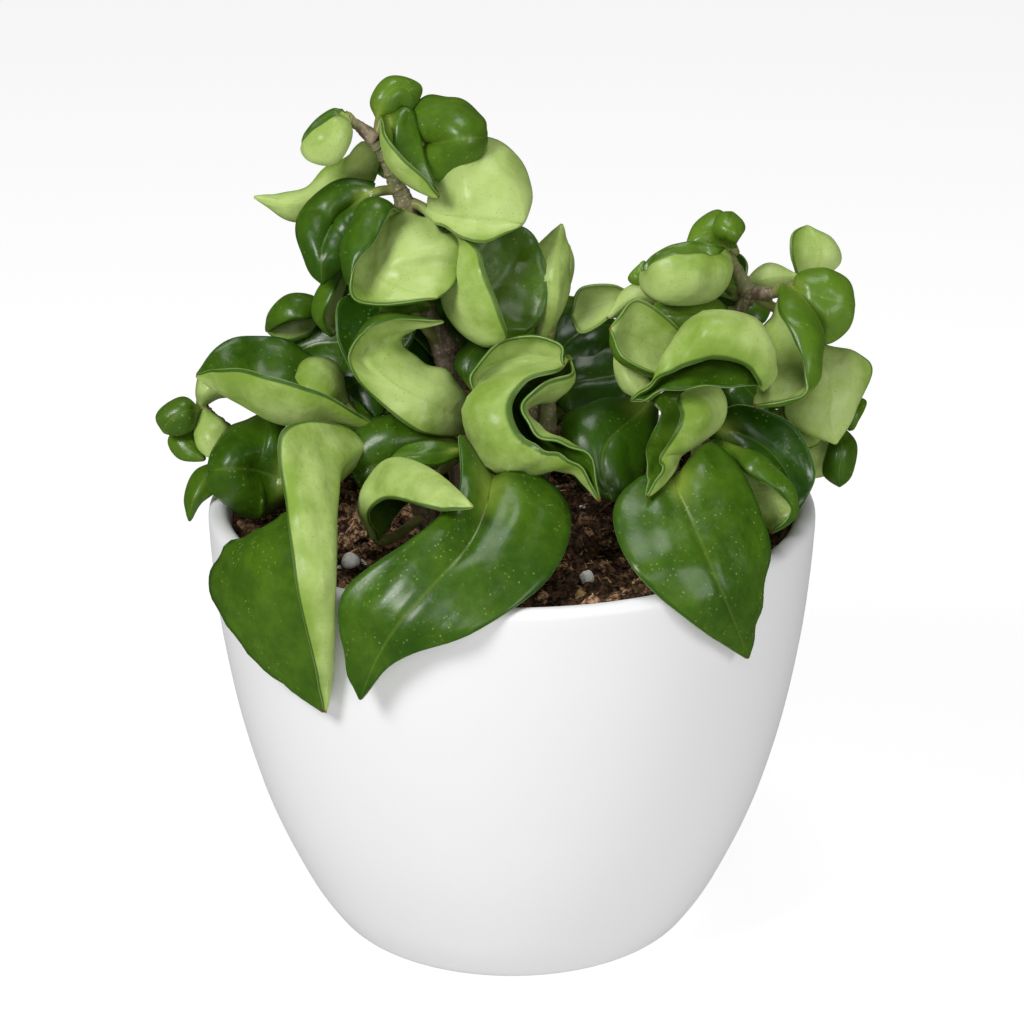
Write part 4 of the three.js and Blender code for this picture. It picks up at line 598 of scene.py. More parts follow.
# How young the leaves of a piece are: 1 young and pale; below 0 darker than a grown leaf, which is painted
# shade on the leaves deep in the plant
PLAIN_TONE = 0.1
TONES_AND_SHADE = {
    "crown_ring_leaf": 0.3, "crown_bud": 0.6, "broad_pale_leaf": 0.6, "shell_leaf": 0.2,
    "pale_cluster": 0.75, "right_buds": 0.5, "lip_leaf": 0.4, "scoop_leaf": 0.35,
    "inner_cup_leaf": 0.3, "bright_cup_leaf": 0.5, "rear_right_leaves": 0.5, "draped_leaf": 0.25,
    "pale_edge_leaf": 0.3, "left_tip_buds": 0.3, "hook_leaf": 0.3, "hood_leaf": 0.1,
    "dark_round_leaf": -0.5, "deep_leaves": -0.6, "dark_cup_leaf": -0.4, "low_shade_leaf": -0.5,
    "deep_left_leaf": -0.4, "deep_right_leaf": -0.6, "shade_leaf": -0.3, "round_cup_leaf": -0.2,
    "boat_leaf": -0.15, "tall_stem_leaf": -0.3, "right_stem_leaf": -0.3,
}


def place(points: Iterable) -> np.ndarray:
    """Turns view plane points into the part's own frame.

    Args:
        points: rows of across, up and near in millimetres.

    Returns:
        Rows of x, y and z in millimetres.
    """
    across, up, near = np.asarray(points, float).reshape(-1, 3).T
    nearer = 1 - near / VIEW_DISTANCE
    sine, cosine = math.sin(VIEW_TILT), math.cos(VIEW_TILT)
    rise = up * nearer
    y = rise * sine - near * cosine
    return np.stack([across * nearer, y, VIEW_HEIGHT + rise * cosine + near * sine], 1)


def unit(vectors: np.ndarray) -> np.ndarray:
    """Returns the vectors at length one."""
    return vectors / np.maximum(np.linalg.norm(vectors, axis=-1, keepdims=True), 1e-9)


def smooth_curve(
    points: np.ndarray, before: np.ndarray | None = None, after: np.ndarray | None = None,
) -> Curve:
    """Makes a smooth curve through points, with equal steps between them.

    Args:
        points: the points that the curve goes through.
        before: the point that steers the start; straight on if left out.
        after: the point that steers the end; straight on if left out.

    Returns:
        A function from shares of 0 to 1 to points.
    """
    points = np.asarray(points, float)
    first = 2 * points[0] - points[1] if before is None else before
    last = 2 * points[-1] - points[-2] if after is None else after
    knots = np.vstack([first, points, last])
    spans = len(points) - 1

    def curve(share: np.ndarray) -> np.ndarray:
        """Returns the curve's points at the shares."""
        along = np.clip(share, 0, 1) * spans
        span = np.minimum(along.astype(int), spans - 1)
        t = (along - span)[:, None]
        a, b, c, d = (knots[span + i] for i in range(4))
        square = 2 * a - 5 * b + 4 * c - d
        cube = 3 * b - a - 3 * c + d
        return b + 0.5 * t * (c - a + t * (square + t * cube))

    return curve


def ramp(values: list, share: np.ndarray) -> np.ndarray:
    """Returns values given at equal steps inside 0 to 1, held level at both ends."""
    places = (np.arange(len(values)) + 1) / (len(values) + 1)
    return np.interp(share, places, values)


def smoothstep(value: np.ndarray, low: float, high: float) -> np.ndarray:
    """Returns 0 below low, 1 above high and a smooth rise between them."""
    t = np.clip((value - low) / (high - low), 0, 1)
    return t * t * (3 - 2 * t)


def bell(distance: np.ndarray, width: float) -> np.ndarray:
    """Returns 1 at no distance, falling smoothly to 0 past the width."""
    return np.exp(-((distance / width) ** 2))


def circle(sides: int) -> np.ndarray:
    """Returns equal turns round a circle, in radians."""
    return np.linspace(0, TURN, sides, endpoint=False)


def add_object(name: str, data: bpy.types.ID) -> bpy.types.Object:
    """Puts an object with its mesh, lamp or camera in the scene."""
    added = bpy.data.objects.new(name, data)
    bpy.context.scene.collection.objects.link(added)
    return added


class Body:
    """Gathers closed shells and their point values into one mesh."""

    def __init__(self) -> None:
        """Starts an empty body."""
        self.points: list[np.ndarray] = []
        self.faces: list[list[int]] = []
        self.values: dict[str, list[np.ndarray]] = {}
        self.count = 0

    def loft(
        self, rings: np.ndarray, values: dict[str, np.ndarray] | None = None, ends: bool = True,
    ) -> None:
        """Adds a shell through rings of equal count.

        Args:
            rings: points in millimetres, as rings by points round by 3.
            values: a number for each ring point, by name.
            ends: whether a fan closes each end.
        """
        rows, count, _ = rings.shape
        start = self.count
        ring = start + np.arange(rows - 1)[:, None] * count
        near = np.arange(count)[None, :]
        far = (near + 1) % count
        quads = np.stack([ring + near, ring + far, ring + far + count, ring + near + count], -1)
        self.faces += quads.reshape(-1, 4).tolist()
        points = rings.reshape(-1, 3)
        extra = {name: value.reshape(-1) for name, value in (values or {}).items()}
        if ends:
            points = np.vstack([points, rings[0].mean(0), rings[-1].mean(0)])
            first, last = start + rows * count, start + rows * count + 1
            top = start + (rows - 1) * count
            for i in range(count):
                j = (i + 1) % count
                self.faces += [[first, start + j, start + i], [last, top + i, top + j]]
            extra = {name: np.append(value, [value[0], value[-1]]) for name, value in extra.items()}
        self.points.append(points)
        for name, value in extra.items():
            self.values.setdefault(name, []).append(value)
        self.count += len(points)

    def make(self, name: str, finish: bpy.types.Material) -> bpy.types.Object:
        """Builds the smooth-shaded object, at the origin and in metres.

        Args:
            name: the object's name.
            finish: its material.

        Returns:
            The object.
        """
        mesh = bpy.data.meshes.new(name)
        mesh.from_pydata((np.vstack(self.points) * MM).tolist(), [], self.faces)
        for key, value in self.values.items():
            layer = mesh.attributes.new(key, "FLOAT", "POINT")
            layer.data.foreach_set("value", np.concatenate(value).astype(np.float32))
        shell = bmesh.new()
        shell.from_mesh(mesh)
        bmesh.ops.recalc_face_normals(shell, faces=shell.faces)
        shell.to_mesh(mesh)
        shell.free()
        mesh.polygons.foreach_set("use_smooth", [True] * len(mesh.polygons))
        mesh.materials.append(finish)
        return add_object(name, mesh)


def finish_piece(piece: bpy.types.Object, slot: str, *nodes: str) -> None:
    """Joins a piece to the part's one body and hides the nodes it stands for."""
    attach(piece, "root")
    if nodes:
        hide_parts(*nodes)
    log.info("%s: %d faces", piece.name, len(piece.data.polygons))


@dataclass
class Waves:
    """Soft lumps of a leaf's skin, drawn with its own random phases."""

    pucker: float = 0.65
    pucker_length: float = 9.0
    pucker_waves: int = 3
    flat_rib: float = 0.25
    ruffle: float = 0.22
    ruffle_length: float = 12.0

    def lift(
        self, rng: np.random.Generator, along: np.ndarray, across: np.ndarray, side: np.ndarray,
    ) -> np.ndarray:
        """Works out how far each point of the blade is lifted.

        Args:
            rng: the leaf's random draws.
            along: millimetres along the rib.
            across: millimetres from the rib.
            side: -1 at the left margin to 1 at the right.

        Returns:
            Millimetres towards the upper side.
        """
        turn = TURN / self.pucker_length
        total = np.zeros_like(across)
        for _ in range(self.pucker_waves):
            angle, phase = rng.uniform(0, TURN, 2)
            total += np.sin(turn * (along * math.cos(angle) + across * math.sin(angle)) + phase)
        off_rib = 1 - bell(side, self.flat_rib)
        phases = rng.uniform(0, TURN, 2)
        wave = np.sin(TURN * along / self.ruffle_length + np.where(side > 0, *phases))
        return self.pucker * total / self.pucker_waves * off_rib + self.ruffle * wave * np.abs(side) ** 3


@dataclass
class LeafMaker:
    """Builds thick curled leaves: a blade on a round stalk, with a groove over the rib."""

    rows: int = 44
    half_columns: int = 13
    rib_half: float = 0.8
    margin_half: float = 0.42
    stalk_radius: float = 1.15
    stalk_rows: int = 5
    stalk_turn: float = math.radians(80)
    stalk_blend: float = 0.2
    stalk_lip: float = 0.3
    full_curl_width: float = 5.0
    blade_start: float = 0.03
    tip_end: float = 0.992
    tip_round: float = 0.1
    tip_thinning: float = 0.94
    softenings: int = 3
    groove_depth: float = 0.3
    groove_width: float = 0.55
    groove_under: float = 0.6
    relief_start: tuple = (0.08, 0.3)
    relief_end: tuple = (0.85, 1)
    full_relief_length: float = 30.0
    waves: Waves = field(default_factory=Waves)

    def middle_sheet(self, blade: Blade, share: np.ndarray, side: np.ndarray) -> np.ndarray:
        """Lays out the blade's middle surface.

        Args:
            blade: the leaf's curves, in the part's frame.
            share: places from base to tip.
            side: places from -1 at the left margin to 1 at the right.

        Returns:
            Points as shares by sides by 3.
        """
        rib, left, right = (np.asarray(rail, float) for rail in (blade.rib, blade.left, blade.right))
        rib_curve = smooth_curve(rib)
        middle = rib_curve(share)
        along = unit(rib_curve(share + SMALL_STEP) - rib_curve(share - SMALL_STEP))
        sheet = np.repeat(middle[:, None], len(side), 1)
        halves = ((-1, left, right, blade.curl_left), (1, right, left, blade.curl_right))
        for hand, rail, other, curls in halves:
            edge = smooth_curve(np.vstack([rib[:1], rail, rib[-1:]]), other[0], 2 * rib[-1] - rail[-1])
            chord = edge(share) - middle
            width = np.linalg.norm(chord, axis=1)
            outward = unit(chord)
            upper = unit(np.cross(outward, along) * hand)
            curl = np.radians(ramp(curls, share) * np.minimum(width / self.full_curl_width, 1))
            curl = np.where(np.abs(curl) < SMALL_STEP, SMALL_STEP, curl)[:, None]
            columns = np.nonzero(side * hand > 0)[0]
            turn = np.abs(side[columns])[None, :]
            reach = width[:, None] * np.sin(curl * turn / 2) / np.sin(curl / 2)
            angle = curl * (turn - 1) / 2
            sheet[:, columns] += outward[:, None] * (reach * np.cos(angle))[..., None]
            sheet[:, columns] += upper[:, None] * (reach * np.sin(angle))[..., None]
        return sheet

    def soften_rib(self, sheet: np.ndarray) -> None:
        """Rounds the crease that the two halves make at the rib."""
        middle = self.half_columns
        for _ in range(self.softenings):
            for reach in (2, 1, 0):
                for column in {middle - reach, middle + reach}:
                    beside = sheet[:, column - 1] + sheet[:, column + 1]
                    sheet[:, column] = sheet[:, column] / 2 + beside / 4

    def add(self, body: Body, blade: Blade, tone: float, chance: float) -> None:
        """Adds one leaf to a body.

        Args:
            body: the body that takes it.
            blade: the leaf's curves, in the part's frame, in millimetres.
            tone: 1 for a young pale leaf, 0 for a grown one; below 0 darkens it as painted shade.
            chance: the leaf's own random number, 0 to 1.
        """
        share = np.linspace(self.blade_start, self.tip_end, self.rows)
        side = np.linspace(-1, 1, 2 * self.half_columns + 1)
        sheet = self.middle_sheet(blade, share, side)
        self.soften_rib(sheet)
        across = np.gradient(sheet, axis=1)
        upper = unit(np.cross(across, np.gradient(sheet, axis=0)))
        steps = np.linalg.norm(np.diff(sheet, axis=0, prepend=sheet[:1])[:, self.half_columns], axis=1)
        length = np.cumsum(steps)[:, None]
        width = np.cumsum(np.linalg.norm(across, axis=2), axis=1)
        width -= width[:, self.half_columns][:, None]
        size = min(length[-1, 0] / self.full_relief_length, 1)
        ends = 1 - smoothstep(share, *self.relief_end)
        fade = np.minimum(smoothstep(share, *self.relief_start), ends)[:, None]
        rng = np.random.default_rng(int(chance * 1e6))
        lift = self.waves.lift(rng, length + 0 * width, width, side + 0 * width)
        sheet = sheet + upper * (lift * fade * size**2)[..., None]
        groove = self.groove_depth * bell(width, self.groove_width) * fade * size
        across = unit(np.gradient(sheet, axis=1))
        leaf = self.thicken(sheet, across, groove, share, side)
        angle = side * self.stalk_turn
        stalk = self.stalk_rings(blade, across[2, self.half_columns], angle)
        rings = np.vstack([stalk, leaf])

        total, count, _ = rings.shape
        loop = np.concatenate([side, [1], side[::-1], [-1]])
        face = np.concatenate([np.ones_like(side), [0], -np.ones_like(side), [0]])
        along = np.concatenate([np.linspace(-0.3, 0, len(stalk), endpoint=False), share])
        body.loft(rings, {
            "side": np.repeat(loop[None], total, 0),
            "face": np.repeat(face[None], total, 0),
            "along": np.repeat(along[:, None], count, 1),
            "tone": np.full((total, count), tone),
            "chance": np.full((total, count), chance),
        })

    def thicken(
        self, sheet: np.ndarray, across: np.ndarray, groove: np.ndarray, share: np.ndarray, side: np.ndarray,
    ) -> np.ndarray:
        """Gives the middle surface its two faces and round margins.

        Args:
            sheet: the middle surface.
            across: directions from left to right on it.
            groove: depth of the groove over the rib at its points.
            share: places from base to tip.
            side: places from -1 at the left margin to 1 at the right.

        Returns:
            Closed rings from base to tip.
        """
        upper = unit(np.cross(across, np.gradient(sheet, axis=0)))
        near_base = (1 - smoothstep(share, 0, self.stalk_blend))[:, None]
        past_round = np.clip((share - 1 + self.tip_round) / self.tip_round, 0, 1)[:, None]
        near_tip = np.sqrt(1 - (past_round * self.tip_thinning) ** 2)
        angle = side * self.stalk_turn
        thin = self.rib_half + (self.margin_half - self.rib_half) * side**2
        half = (thin + (self.stalk_radius * np.cos(angle) - thin) * near_base) * near_tip
        spread = self.stalk_radius * np.sin(angle) * near_base
        centre = sheet + across * spread[..., None]
        top = centre + upper * (half - groove)[..., None]
        under = centre - upper * (half + self.groove_under * groove)[..., None]
        swelling = (self.stalk_radius - self.margin_half) * near_base * self.stalk_lip
        lip = self.margin_half * near_tip + swelling
        left = centre[:, 0] - across[:, 0] * lip
        right = centre[:, -1] + across[:, -1] * lip
        return np.concatenate([top, right[:, None], under[:, ::-1], left[:, None]], 1)

    def stalk_rings(self, blade: Blade, across: np.ndarray, angle: np.ndarray) -> np.ndarray:
        """Returns the rings of the round stalk, from its foot up to the blade."""
        points = np.vstack([blade.stalk, blade.rib[:1]])
        curve = smooth_curve(points, after=np.asarray(blade.rib[1], float))
        share = np.linspace(0, 1, self.stalk_rows * len(blade.stalk), endpoint=False)
        centre = curve(share)
        along = unit(curve(share + SMALL_STEP) - centre)
        across = unit(across - along * (along @ across)[:, None])
        upper = np.cross(across, along)
        turns = np.concatenate([angle, [math.pi / 2], math.pi - angle[::-1], [-math.pi / 2]])[None, :, None]
        around = across[:, None] * np.sin(turns) + upper[:, None] * np.cos(turns)
        return centre[:, None] + self.stalk_radius * around


@dataclass
class StemMaker:
    """Builds woody stems with swollen, ringed nodes."""

    sides: int = 18
    ring_step: float = 0.45
    node_step: float = 9.0
    node_swell: float = 0.16
    node_width: float = 0.09
    scar_width: float = 0.06
    rough: float = 0.05

    def add(self, body: Body, points: np.ndarray, radii: np.ndarray, seed: int) -> None:
        """Adds one stem to a body.

        Args:
            body: the body that takes it.
            points: the stem's course in millimetres.
            radii: the radius at each point.
            seed: fixes its bumps.
        """
        rng = np.random.default_rng(seed)
        curve = smooth_curve(points)
        length = np.linalg.norm(np.diff(points, axis=0), axis=1).sum()
        count = max(int(length / self.ring_step), 8)
        share = np.linspace(0, 1, count)
        centre = curve(share)
        along = unit(np.gradient(centre, axis=0))
        radius = np.interp(share, np.linspace(0, 1, len(radii)), radii)
        from_node = (share * length / self.node_step + rng.uniform()) % 1 - 0.5
        radius = radius * (1 + self.node_swell * bell(from_node, self.node_width))
        across = np.array([1.0, 0.0, 0.0])
        turns = circle(self.sides)
        rings = []
        for row in range(count):
            across = unit(across - along[row] * (across @ along[row]))
            other = np.cross(along[row], across)
            bumps = 1 + self.rough * rng.standard_normal(self.sides)
            around = np.cos(turns)[:, None] * across + np.sin(turns)[:, None] * other
            rings.append(centre[row] + around * (radius[row] * bumps)[:, None])
        body.loft(np.array(rings), {
            "ring": np.repeat(bell(from_node, self.scar_width)[:, None], self.sides, 1),
            "young": np.repeat(share[:, None], self.sides, 1),
        })


def pot_radius(height: np.ndarray | float) -> np.ndarray:
    """Returns the pot's outer radius at a height, in millimetres."""
    levels, shares = np.array(POT_OUTLINE, float).T
    curve = smooth_curve(np.stack([levels, shares, 0 * levels], 1))
    points = curve(np.linspace(0, 1, OUTLINE_STEPS))
    return np.interp(np.asarray(height) / POT_HEIGHT, points[:, 0], points[:, 1]) * POT_WIDTH / 2


def pot_inside(height: np.ndarray | float) -> np.ndarray:
    """Returns the pot's inner radius at a height, in millimetres."""
    span = [POT_HEIGHT - LIP_SPAN, POT_HEIGHT - LIP_ROUND]
    return pot_radius(height) - np.interp(height, span, [WALL, 2 * LIP_ROUND])


def soil_height(x: np.ndarray, y: np.ndarray) -> np.ndarray:
    """Returns the height of the soil's top at a place, in millimetres."""
    share = np.hypot(x, y) / (POT_WIDTH / 2)
    slanting = np.sin(LUMP_SLANT_ACROSS * x + LUMP_SLANT_BACK * y)
    lumps = np.sin(LUMP_ACROSS * x) * np.cos(LUMP_BACK * y) + LUMP_SLANT_SHARE * slanting
    return SOIL_LEVEL + SOIL_CROWN * (1 - share**2) + SOIL_ROUGH * lumps


def arc(middle: tuple[float, float], radius: float, start: float, end: float, steps: int) -> list:
    """Returns points of an arc, from start to end in degrees."""
    turns = np.radians(np.linspace(start, end, steps))
    return [(middle[0] + radius * math.cos(t), middle[1] + radius * math.sin(t)) for t in turns]


def turned(profile: np.ndarray, sides: int) -> np.ndarray:
    """Returns rings of a profile of radius and height turned round the axis."""
    turns = circle(sides)
    radius, height = profile[:, 0, None], profile[:, 1, None]
    return np.stack([radius * np.cos(turns), radius * np.sin(turns), height + 0 * turns], -1)


class Value:
    """A number socket that takes part in plain Python sums."""

    def __init__(self, graph: "Graph", socket: bpy.types.NodeSocket) -> None:
        """Wraps a socket of a node tree."""
        self.graph = graph
        self.socket = socket

    def _math(self, operation: str, *others: "Value | float") -> "Value":
        """Adds a Math node on this value and the others."""
        node = self.graph.node("ShaderNodeMath", {"operation": operation}, dict(enumerate((self, *others))))
        return Value(self.graph, node.outputs[0])

    def __add__(self, other: "Value | float") -> "Value":
        """Adds."""
        return self._math("ADD", other)

    def __mul__(self, other: "Value | float") -> "Value":
        """Multiplies."""
        return self._math("MULTIPLY", other)

    __radd__ = __add__
    __rmul__ = __mul__

    def __sub__(self, other: "Value | float") -> "Value":
        """Takes the other away."""
        return self._math("SUBTRACT", other)

    def __rsub__(self, other: float) -> "Value":
        """Takes this value away from a number."""
        return self * -1 + other

    def absolute(self) -> "Value":
        """Returns the size without the sign."""
        return self._math("ABSOLUTE")

    def step(self, low: float, high: float) -> "Value":
        """Rises smoothly from 0 at low to 1 at high."""
        settings = {"interpolation_type": "SMOOTHSTEP"}
        node = self.graph.node("ShaderNodeMapRange", settings, {"Value": self, 1: low, 2: high})
        return Value(self.graph, node.outputs[0])


class Graph:
    """Adds nodes to a node tree."""

    def __init__(self, tree: bpy.types.NodeTree) -> None:
        """Takes the tree that the nodes go into."""
        self.tree = tree

    def node(self, kind: str, settings: dict | None = None, inputs: dict | None = None) -> bpy.types.Node:
        """Adds any node.

        Args:
            kind: the node's type.
            settings: its own settings, set first.
            inputs: values, links or Values for its sockets, by name or number.

        Returns:
            The node.
        """
        node = self.tree.nodes.new(kind)
        for key, value in (settings or {}).items():
            setattr(node, key, value)
        for key, value in (inputs or {}).items():
            self.fill(node.inputs[key], value)
        return node

    def fill(self, socket: bpy.types.NodeSocket, value: Value | bpy.types.NodeSocket | float | tuple) -> None:
        """Links or sets one socket."""
        source = value.socket if isinstance(value, Value) else value
        if isinstance(source, bpy.types.NodeSocket):
            self.tree.links.new(source, socket)
        elif socket.type == "RGBA":
            socket.default_value = (*source, 1)
        else:
            socket.default_value = source


class Shader(Graph):
    """Builds the nodes of one material."""

    def __init__(self, name: str, **settings: float | tuple) -> None:
        """Starts a material; the settings are plain values of the Principled shader's sockets."""
        self.material = bpy.data.materials.new(name)
        self.material.use_nodes = True
        super().__init__(self.material.node_tree)
        self.surface = self.tree.nodes["Principled BSDF"]
        for key, value in settings.items():
            self.feed(key.replace("_", " "), value)

    def here(self) -> bpy.types.NodeSocket:
        """Returns the object coordinates."""
        return self.node("ShaderNodeTexCoord").outputs["Object"]

    def attribute(self, name: str) -> Value:
        """Returns a number kept on the mesh."""
        node = self.node("ShaderNodeAttribute", {"attribute_name": name})
        return Value(self, node.outputs["Fac"])

    def noise(
        self, scale: float, detail: float = 3, rough: float = 0.5, stretch: tuple | None = None,
    ) -> Value:
        """Returns soft noise of 0 to 1 over object coordinates."""
        spot = self.here()
        if stretch:
            spot = self.node("ShaderNodeMapping", None, {"Vector": spot, "Scale": stretch}).outputs[0]
        inputs = {"Vector": spot, "Scale": scale, "Detail": detail, "Roughness": rough}
        return Value(self, self.node("ShaderNodeTexNoise", None, inputs).outputs["Fac"])

    def specks(self, scale: float, size: float) -> Value:
        """Returns 1 on small round specks and 0 elsewhere."""
        node = self.node("ShaderNodeTexVoronoi", None, {"Vector": self.here(), "Scale": scale})
        return 1 - Value(self, node.outputs["Distance"]).step(size * 0.6, size)

    def mix(
        self, first: tuple | bpy.types.NodeSocket, second: tuple | bpy.types.NodeSocket,
        factor: Value | float,
    ) -> bpy.types.NodeSocket:
        """Returns the first colour going over to the second by the factor."""
        node = self.node("ShaderNodeMix", {"data_type": "RGBA"}, {0: factor, 6: first, 7: second})
        return node.outputs[2]

    def feed(self, socket: str, source: Value | bpy.types.NodeSocket | float | tuple) -> None:
        """Links or sets a socket of the Principled shader."""
        self.fill(self.surface.inputs[socket], source)

    def bump(self, height: Value, depth: float, strength: float = 1.0) -> None:
        """Raises fine relief by a height of 0 to 1, of a depth in millimetres."""
        inputs = {"Height": height, "Distance": depth * MM, "Strength": strength}
        self.feed("Normal", self.node("ShaderNodeBump", None, inputs).outputs[0])


@dataclass(frozen=True)
class LeafFinish:
    """Waxy leaf skin: dark green and glossy above, pale yellow-green and satin below, with a painted
    highlight along the margins and painted shade on leaves of a tone below 0.
    """

    dark: tuple = (0.012, 0.050, 0.001)
    green: tuple = (0.055, 0.126, 0.004)
    young: tuple = (0.17, 0.30, 0.025)
    base: tuple = (0.26, 0.34, 0.05)
    under_dark: tuple = (0.18, 0.285, 0.035)
    under_pale: tuple = (0.365, 0.475, 0.15)
    edge: tuple = (0.018, 0.066, 0.004)
    # Colour of the painted highlight along the margins
    glint: tuple = (0.36, 0.50, 0.14)
    speck: tuple = (0.30, 0.42, 0.14)
    under_speck: tuple = (0.12, 0.22, 0.03)
    brown: tuple = (0.16, 0.075, 0.02)
    stalk: tuple = (0.19, 0.20, 0.06)

    def make(self) -> bpy.types.Material:
        """Builds the material."""
        skin = Shader("leaf skin", Coat_Roughness=0.22, Specular_IOR_Level=0.16)
        side, face, along = (skin.attribute(name) for name in ("side", "face", "along"))
        tone, chance = skin.attribute("tone"), skin.attribute("chance")
        broad, fine = skin.noise(70), skin.noise(420, 4, 0.6)
        off_rib = side.absolute()
        above = face.step(-0.2, 0.2)
        blade = along.step(0.05, 0.15)

        blotches = broad * 0.9 + fine * 0.5 - 0.15 + (chance - 0.5) * 0.4
        upper = skin.mix(self.dark, self.green, blotches.step(0.2, 0.9))
        upper = skin.mix(upper, self.young, tone * (0.55 + broad * 0.5))
        # Painted shade: a tone below 0 darkens the upper side of the leaves deep in the plant
        upper = skin.mix(upper, self.dark, 0 - tone)
        upper = skin.mix(upper, self.base, (1 - off_rib.step(0.0, 0.05)) * 0.15)
        upper = skin.mix(upper, self.base, (1 - along.step(0.05, 0.3)) * (1 - off_rib.step(0.1, 0.8)) * 0.75)
        dots = skin.specks(820, 0.22) * skin.noise(160).step(0.45, 0.65)
        upper = skin.mix(upper, self.speck, dots * 0.4)

        # A tone below 0 also darkens the underside, as painted shade
        patches = broad * 1.3 + fine * 0.3 - 0.25 + tone * 0.3 - off_rib.step(0.45, 1.0) * 0.25
        lower = skin.mix(self.under_dark, self.under_pale, patches.step(0.15, 0.8))
        lower = skin.mix(lower, self.under_speck, skin.specks(1000, 0.2) * 0.45)
        lower = skin.mix(lower, self.base, (1 - off_rib.step(0.0, 0.06)) * 0.35)

        colour = skin.mix(lower, upper, above)
        rim = off_rib.step(0.95, 0.985) * blade
        colour = skin.mix(colour, self.edge, rim * (0.85 - tone * 0.4 - above * 0.25))
        # Painted highlight: a pale line along the rounded crest of each margin
        painted_glint_mask = off_rib.step(0.97, 0.99) * (1 - face.absolute().step(0.15, 0.45)) * blade
        colour = skin.mix(colour, self.glint, painted_glint_mask * 0.4)
        tip = along.step(0.975, 0.99) * chance.step(0.45, 0.5)
        colour = skin.mix(colour, self.brown, tip * 0.85)
        colour = skin.mix(self.stalk, colour, along.step(-0.12, 0.06))
        skin.feed("Base Color", colour)
        skin.feed("Roughness", 0.47 - above * 0.13 + fine * 0.08)
        skin.feed("Coat Weight", above * 0.12 + 0.18)
        skin.bump(broad * 7 + skin.noise(190, 3) * 2.4 + fine * 0.5 + skin.noise(1500, 2) * 0.2, 0.2)
        return skin.material


@dataclass(frozen=True)
class BarkFinish:
    """Grey-brown bark, greener towards the tip, with dark ringed nodes and pale specks."""

    brown: tuple = (0.10, 0.065, 0.035)
    grey: tuple = (0.26, 0.21, 0.14)
    green: tuple = (0.17, 0.21, 0.06)
    pale: tuple = (0.42, 0.36, 0.26)

    def make(self) -> bpy.types.Material:
        """Builds the material."""
        bark = Shader("stem bark")
        grain = bark.noise(600, 5, 0.65, (1, 1, 0.35))
        ring, young = bark.attribute("ring"), bark.attribute("young")
        colour = bark.mix(self.brown, self.grey, grain.step(0.35, 0.7))
        colour = bark.mix(colour, self.green, young.step(0.35, 0.95) * (0.35 + bark.noise(120) * 0.5))
        colour = bark.mix(colour, self.brown, ring * 0.55)
        colour = bark.mix(colour, self.pale, bark.specks(900, 0.28) * 0.6)
        bark.feed("Base Color", colour)
        bark.feed("Roughness", 0.85 - grain * 0.2)
        bark.bump(grain, 0.4)
        return bark.material


@dataclass(frozen=True)
class GrainFinish:
    """A dull crumbly stuff: two colours mixed by noise, with relief in millimetres."""

    name: str
    low: tuple
    high: tuple
    scale: float
    relief: float
    rough: float = 0.9

    def make(self) -> bpy.types.Material:
        """Builds the material."""
        stuff = Shader(self.name, Roughness=self.rough, Specular_IOR_Level=0.25)
        grain = stuff.noise(self.scale, 6, 0.6)
        stuff.feed("Base Color", stuff.mix(self.low, self.high, grain.step(0.38, 0.66)))
        stuff.bump(stuff.noise(self.scale * 3, 4, 0.6), self.relief)
        return stuff.material


@dataclass(frozen=True)
class GlazeFinish:
    """Plain white satin glaze."""

    colour: tuple = (0.735, 0.735, 0.74)
    cloudy: float = 0.97

    def make(self) -> bpy.types.Material:
        """Builds the material."""
        glaze = Shader("white glaze", Specular_IOR_Level=0.4)
        cloud = glaze.noise(25, 2)
        duller = tuple(part * self.cloudy for part in self.colour)
        glaze.feed("Base Color", glaze.mix(self.colour, duller, cloud))
        glaze.feed("Roughness", 0.42 + cloud * 0.06)
        glaze.bump(glaze.noise(180, 2), 0.05)
        return glaze.material


class Stuff(Enum):
    """The loose stuffs of the potting mix."""

    MIX = GrainFinish("potting mix", (0.012, 0.006, 0.003), (0.170, 0.088, 0.042), 700, 0.9)
    CLOD = GrainFinish("fibrous clod", (0.030, 0.014, 0.006), (0.660, 0.390, 0.205), 900, 1.0)
    CHIP = GrainFinish("bark chip", (0.060, 0.030, 0.013), (0.460, 0.265, 0.135), 420, 0.5)
    FIBRE = GrainFinish("bark fibre", (0.140, 0.075, 0.032), (0.700, 0.450, 0.240), 300, 0.2)
    PERLITE = GrainFinish("perlite", (0.90, 0.89, 0.84), (0.97, 0.96, 0.93), 700, 0.3)
    TAN = GrainFinish("tan bark", (0.34, 0.22, 0.08), (0.62, 0.48, 0.24), 500, 0.3)


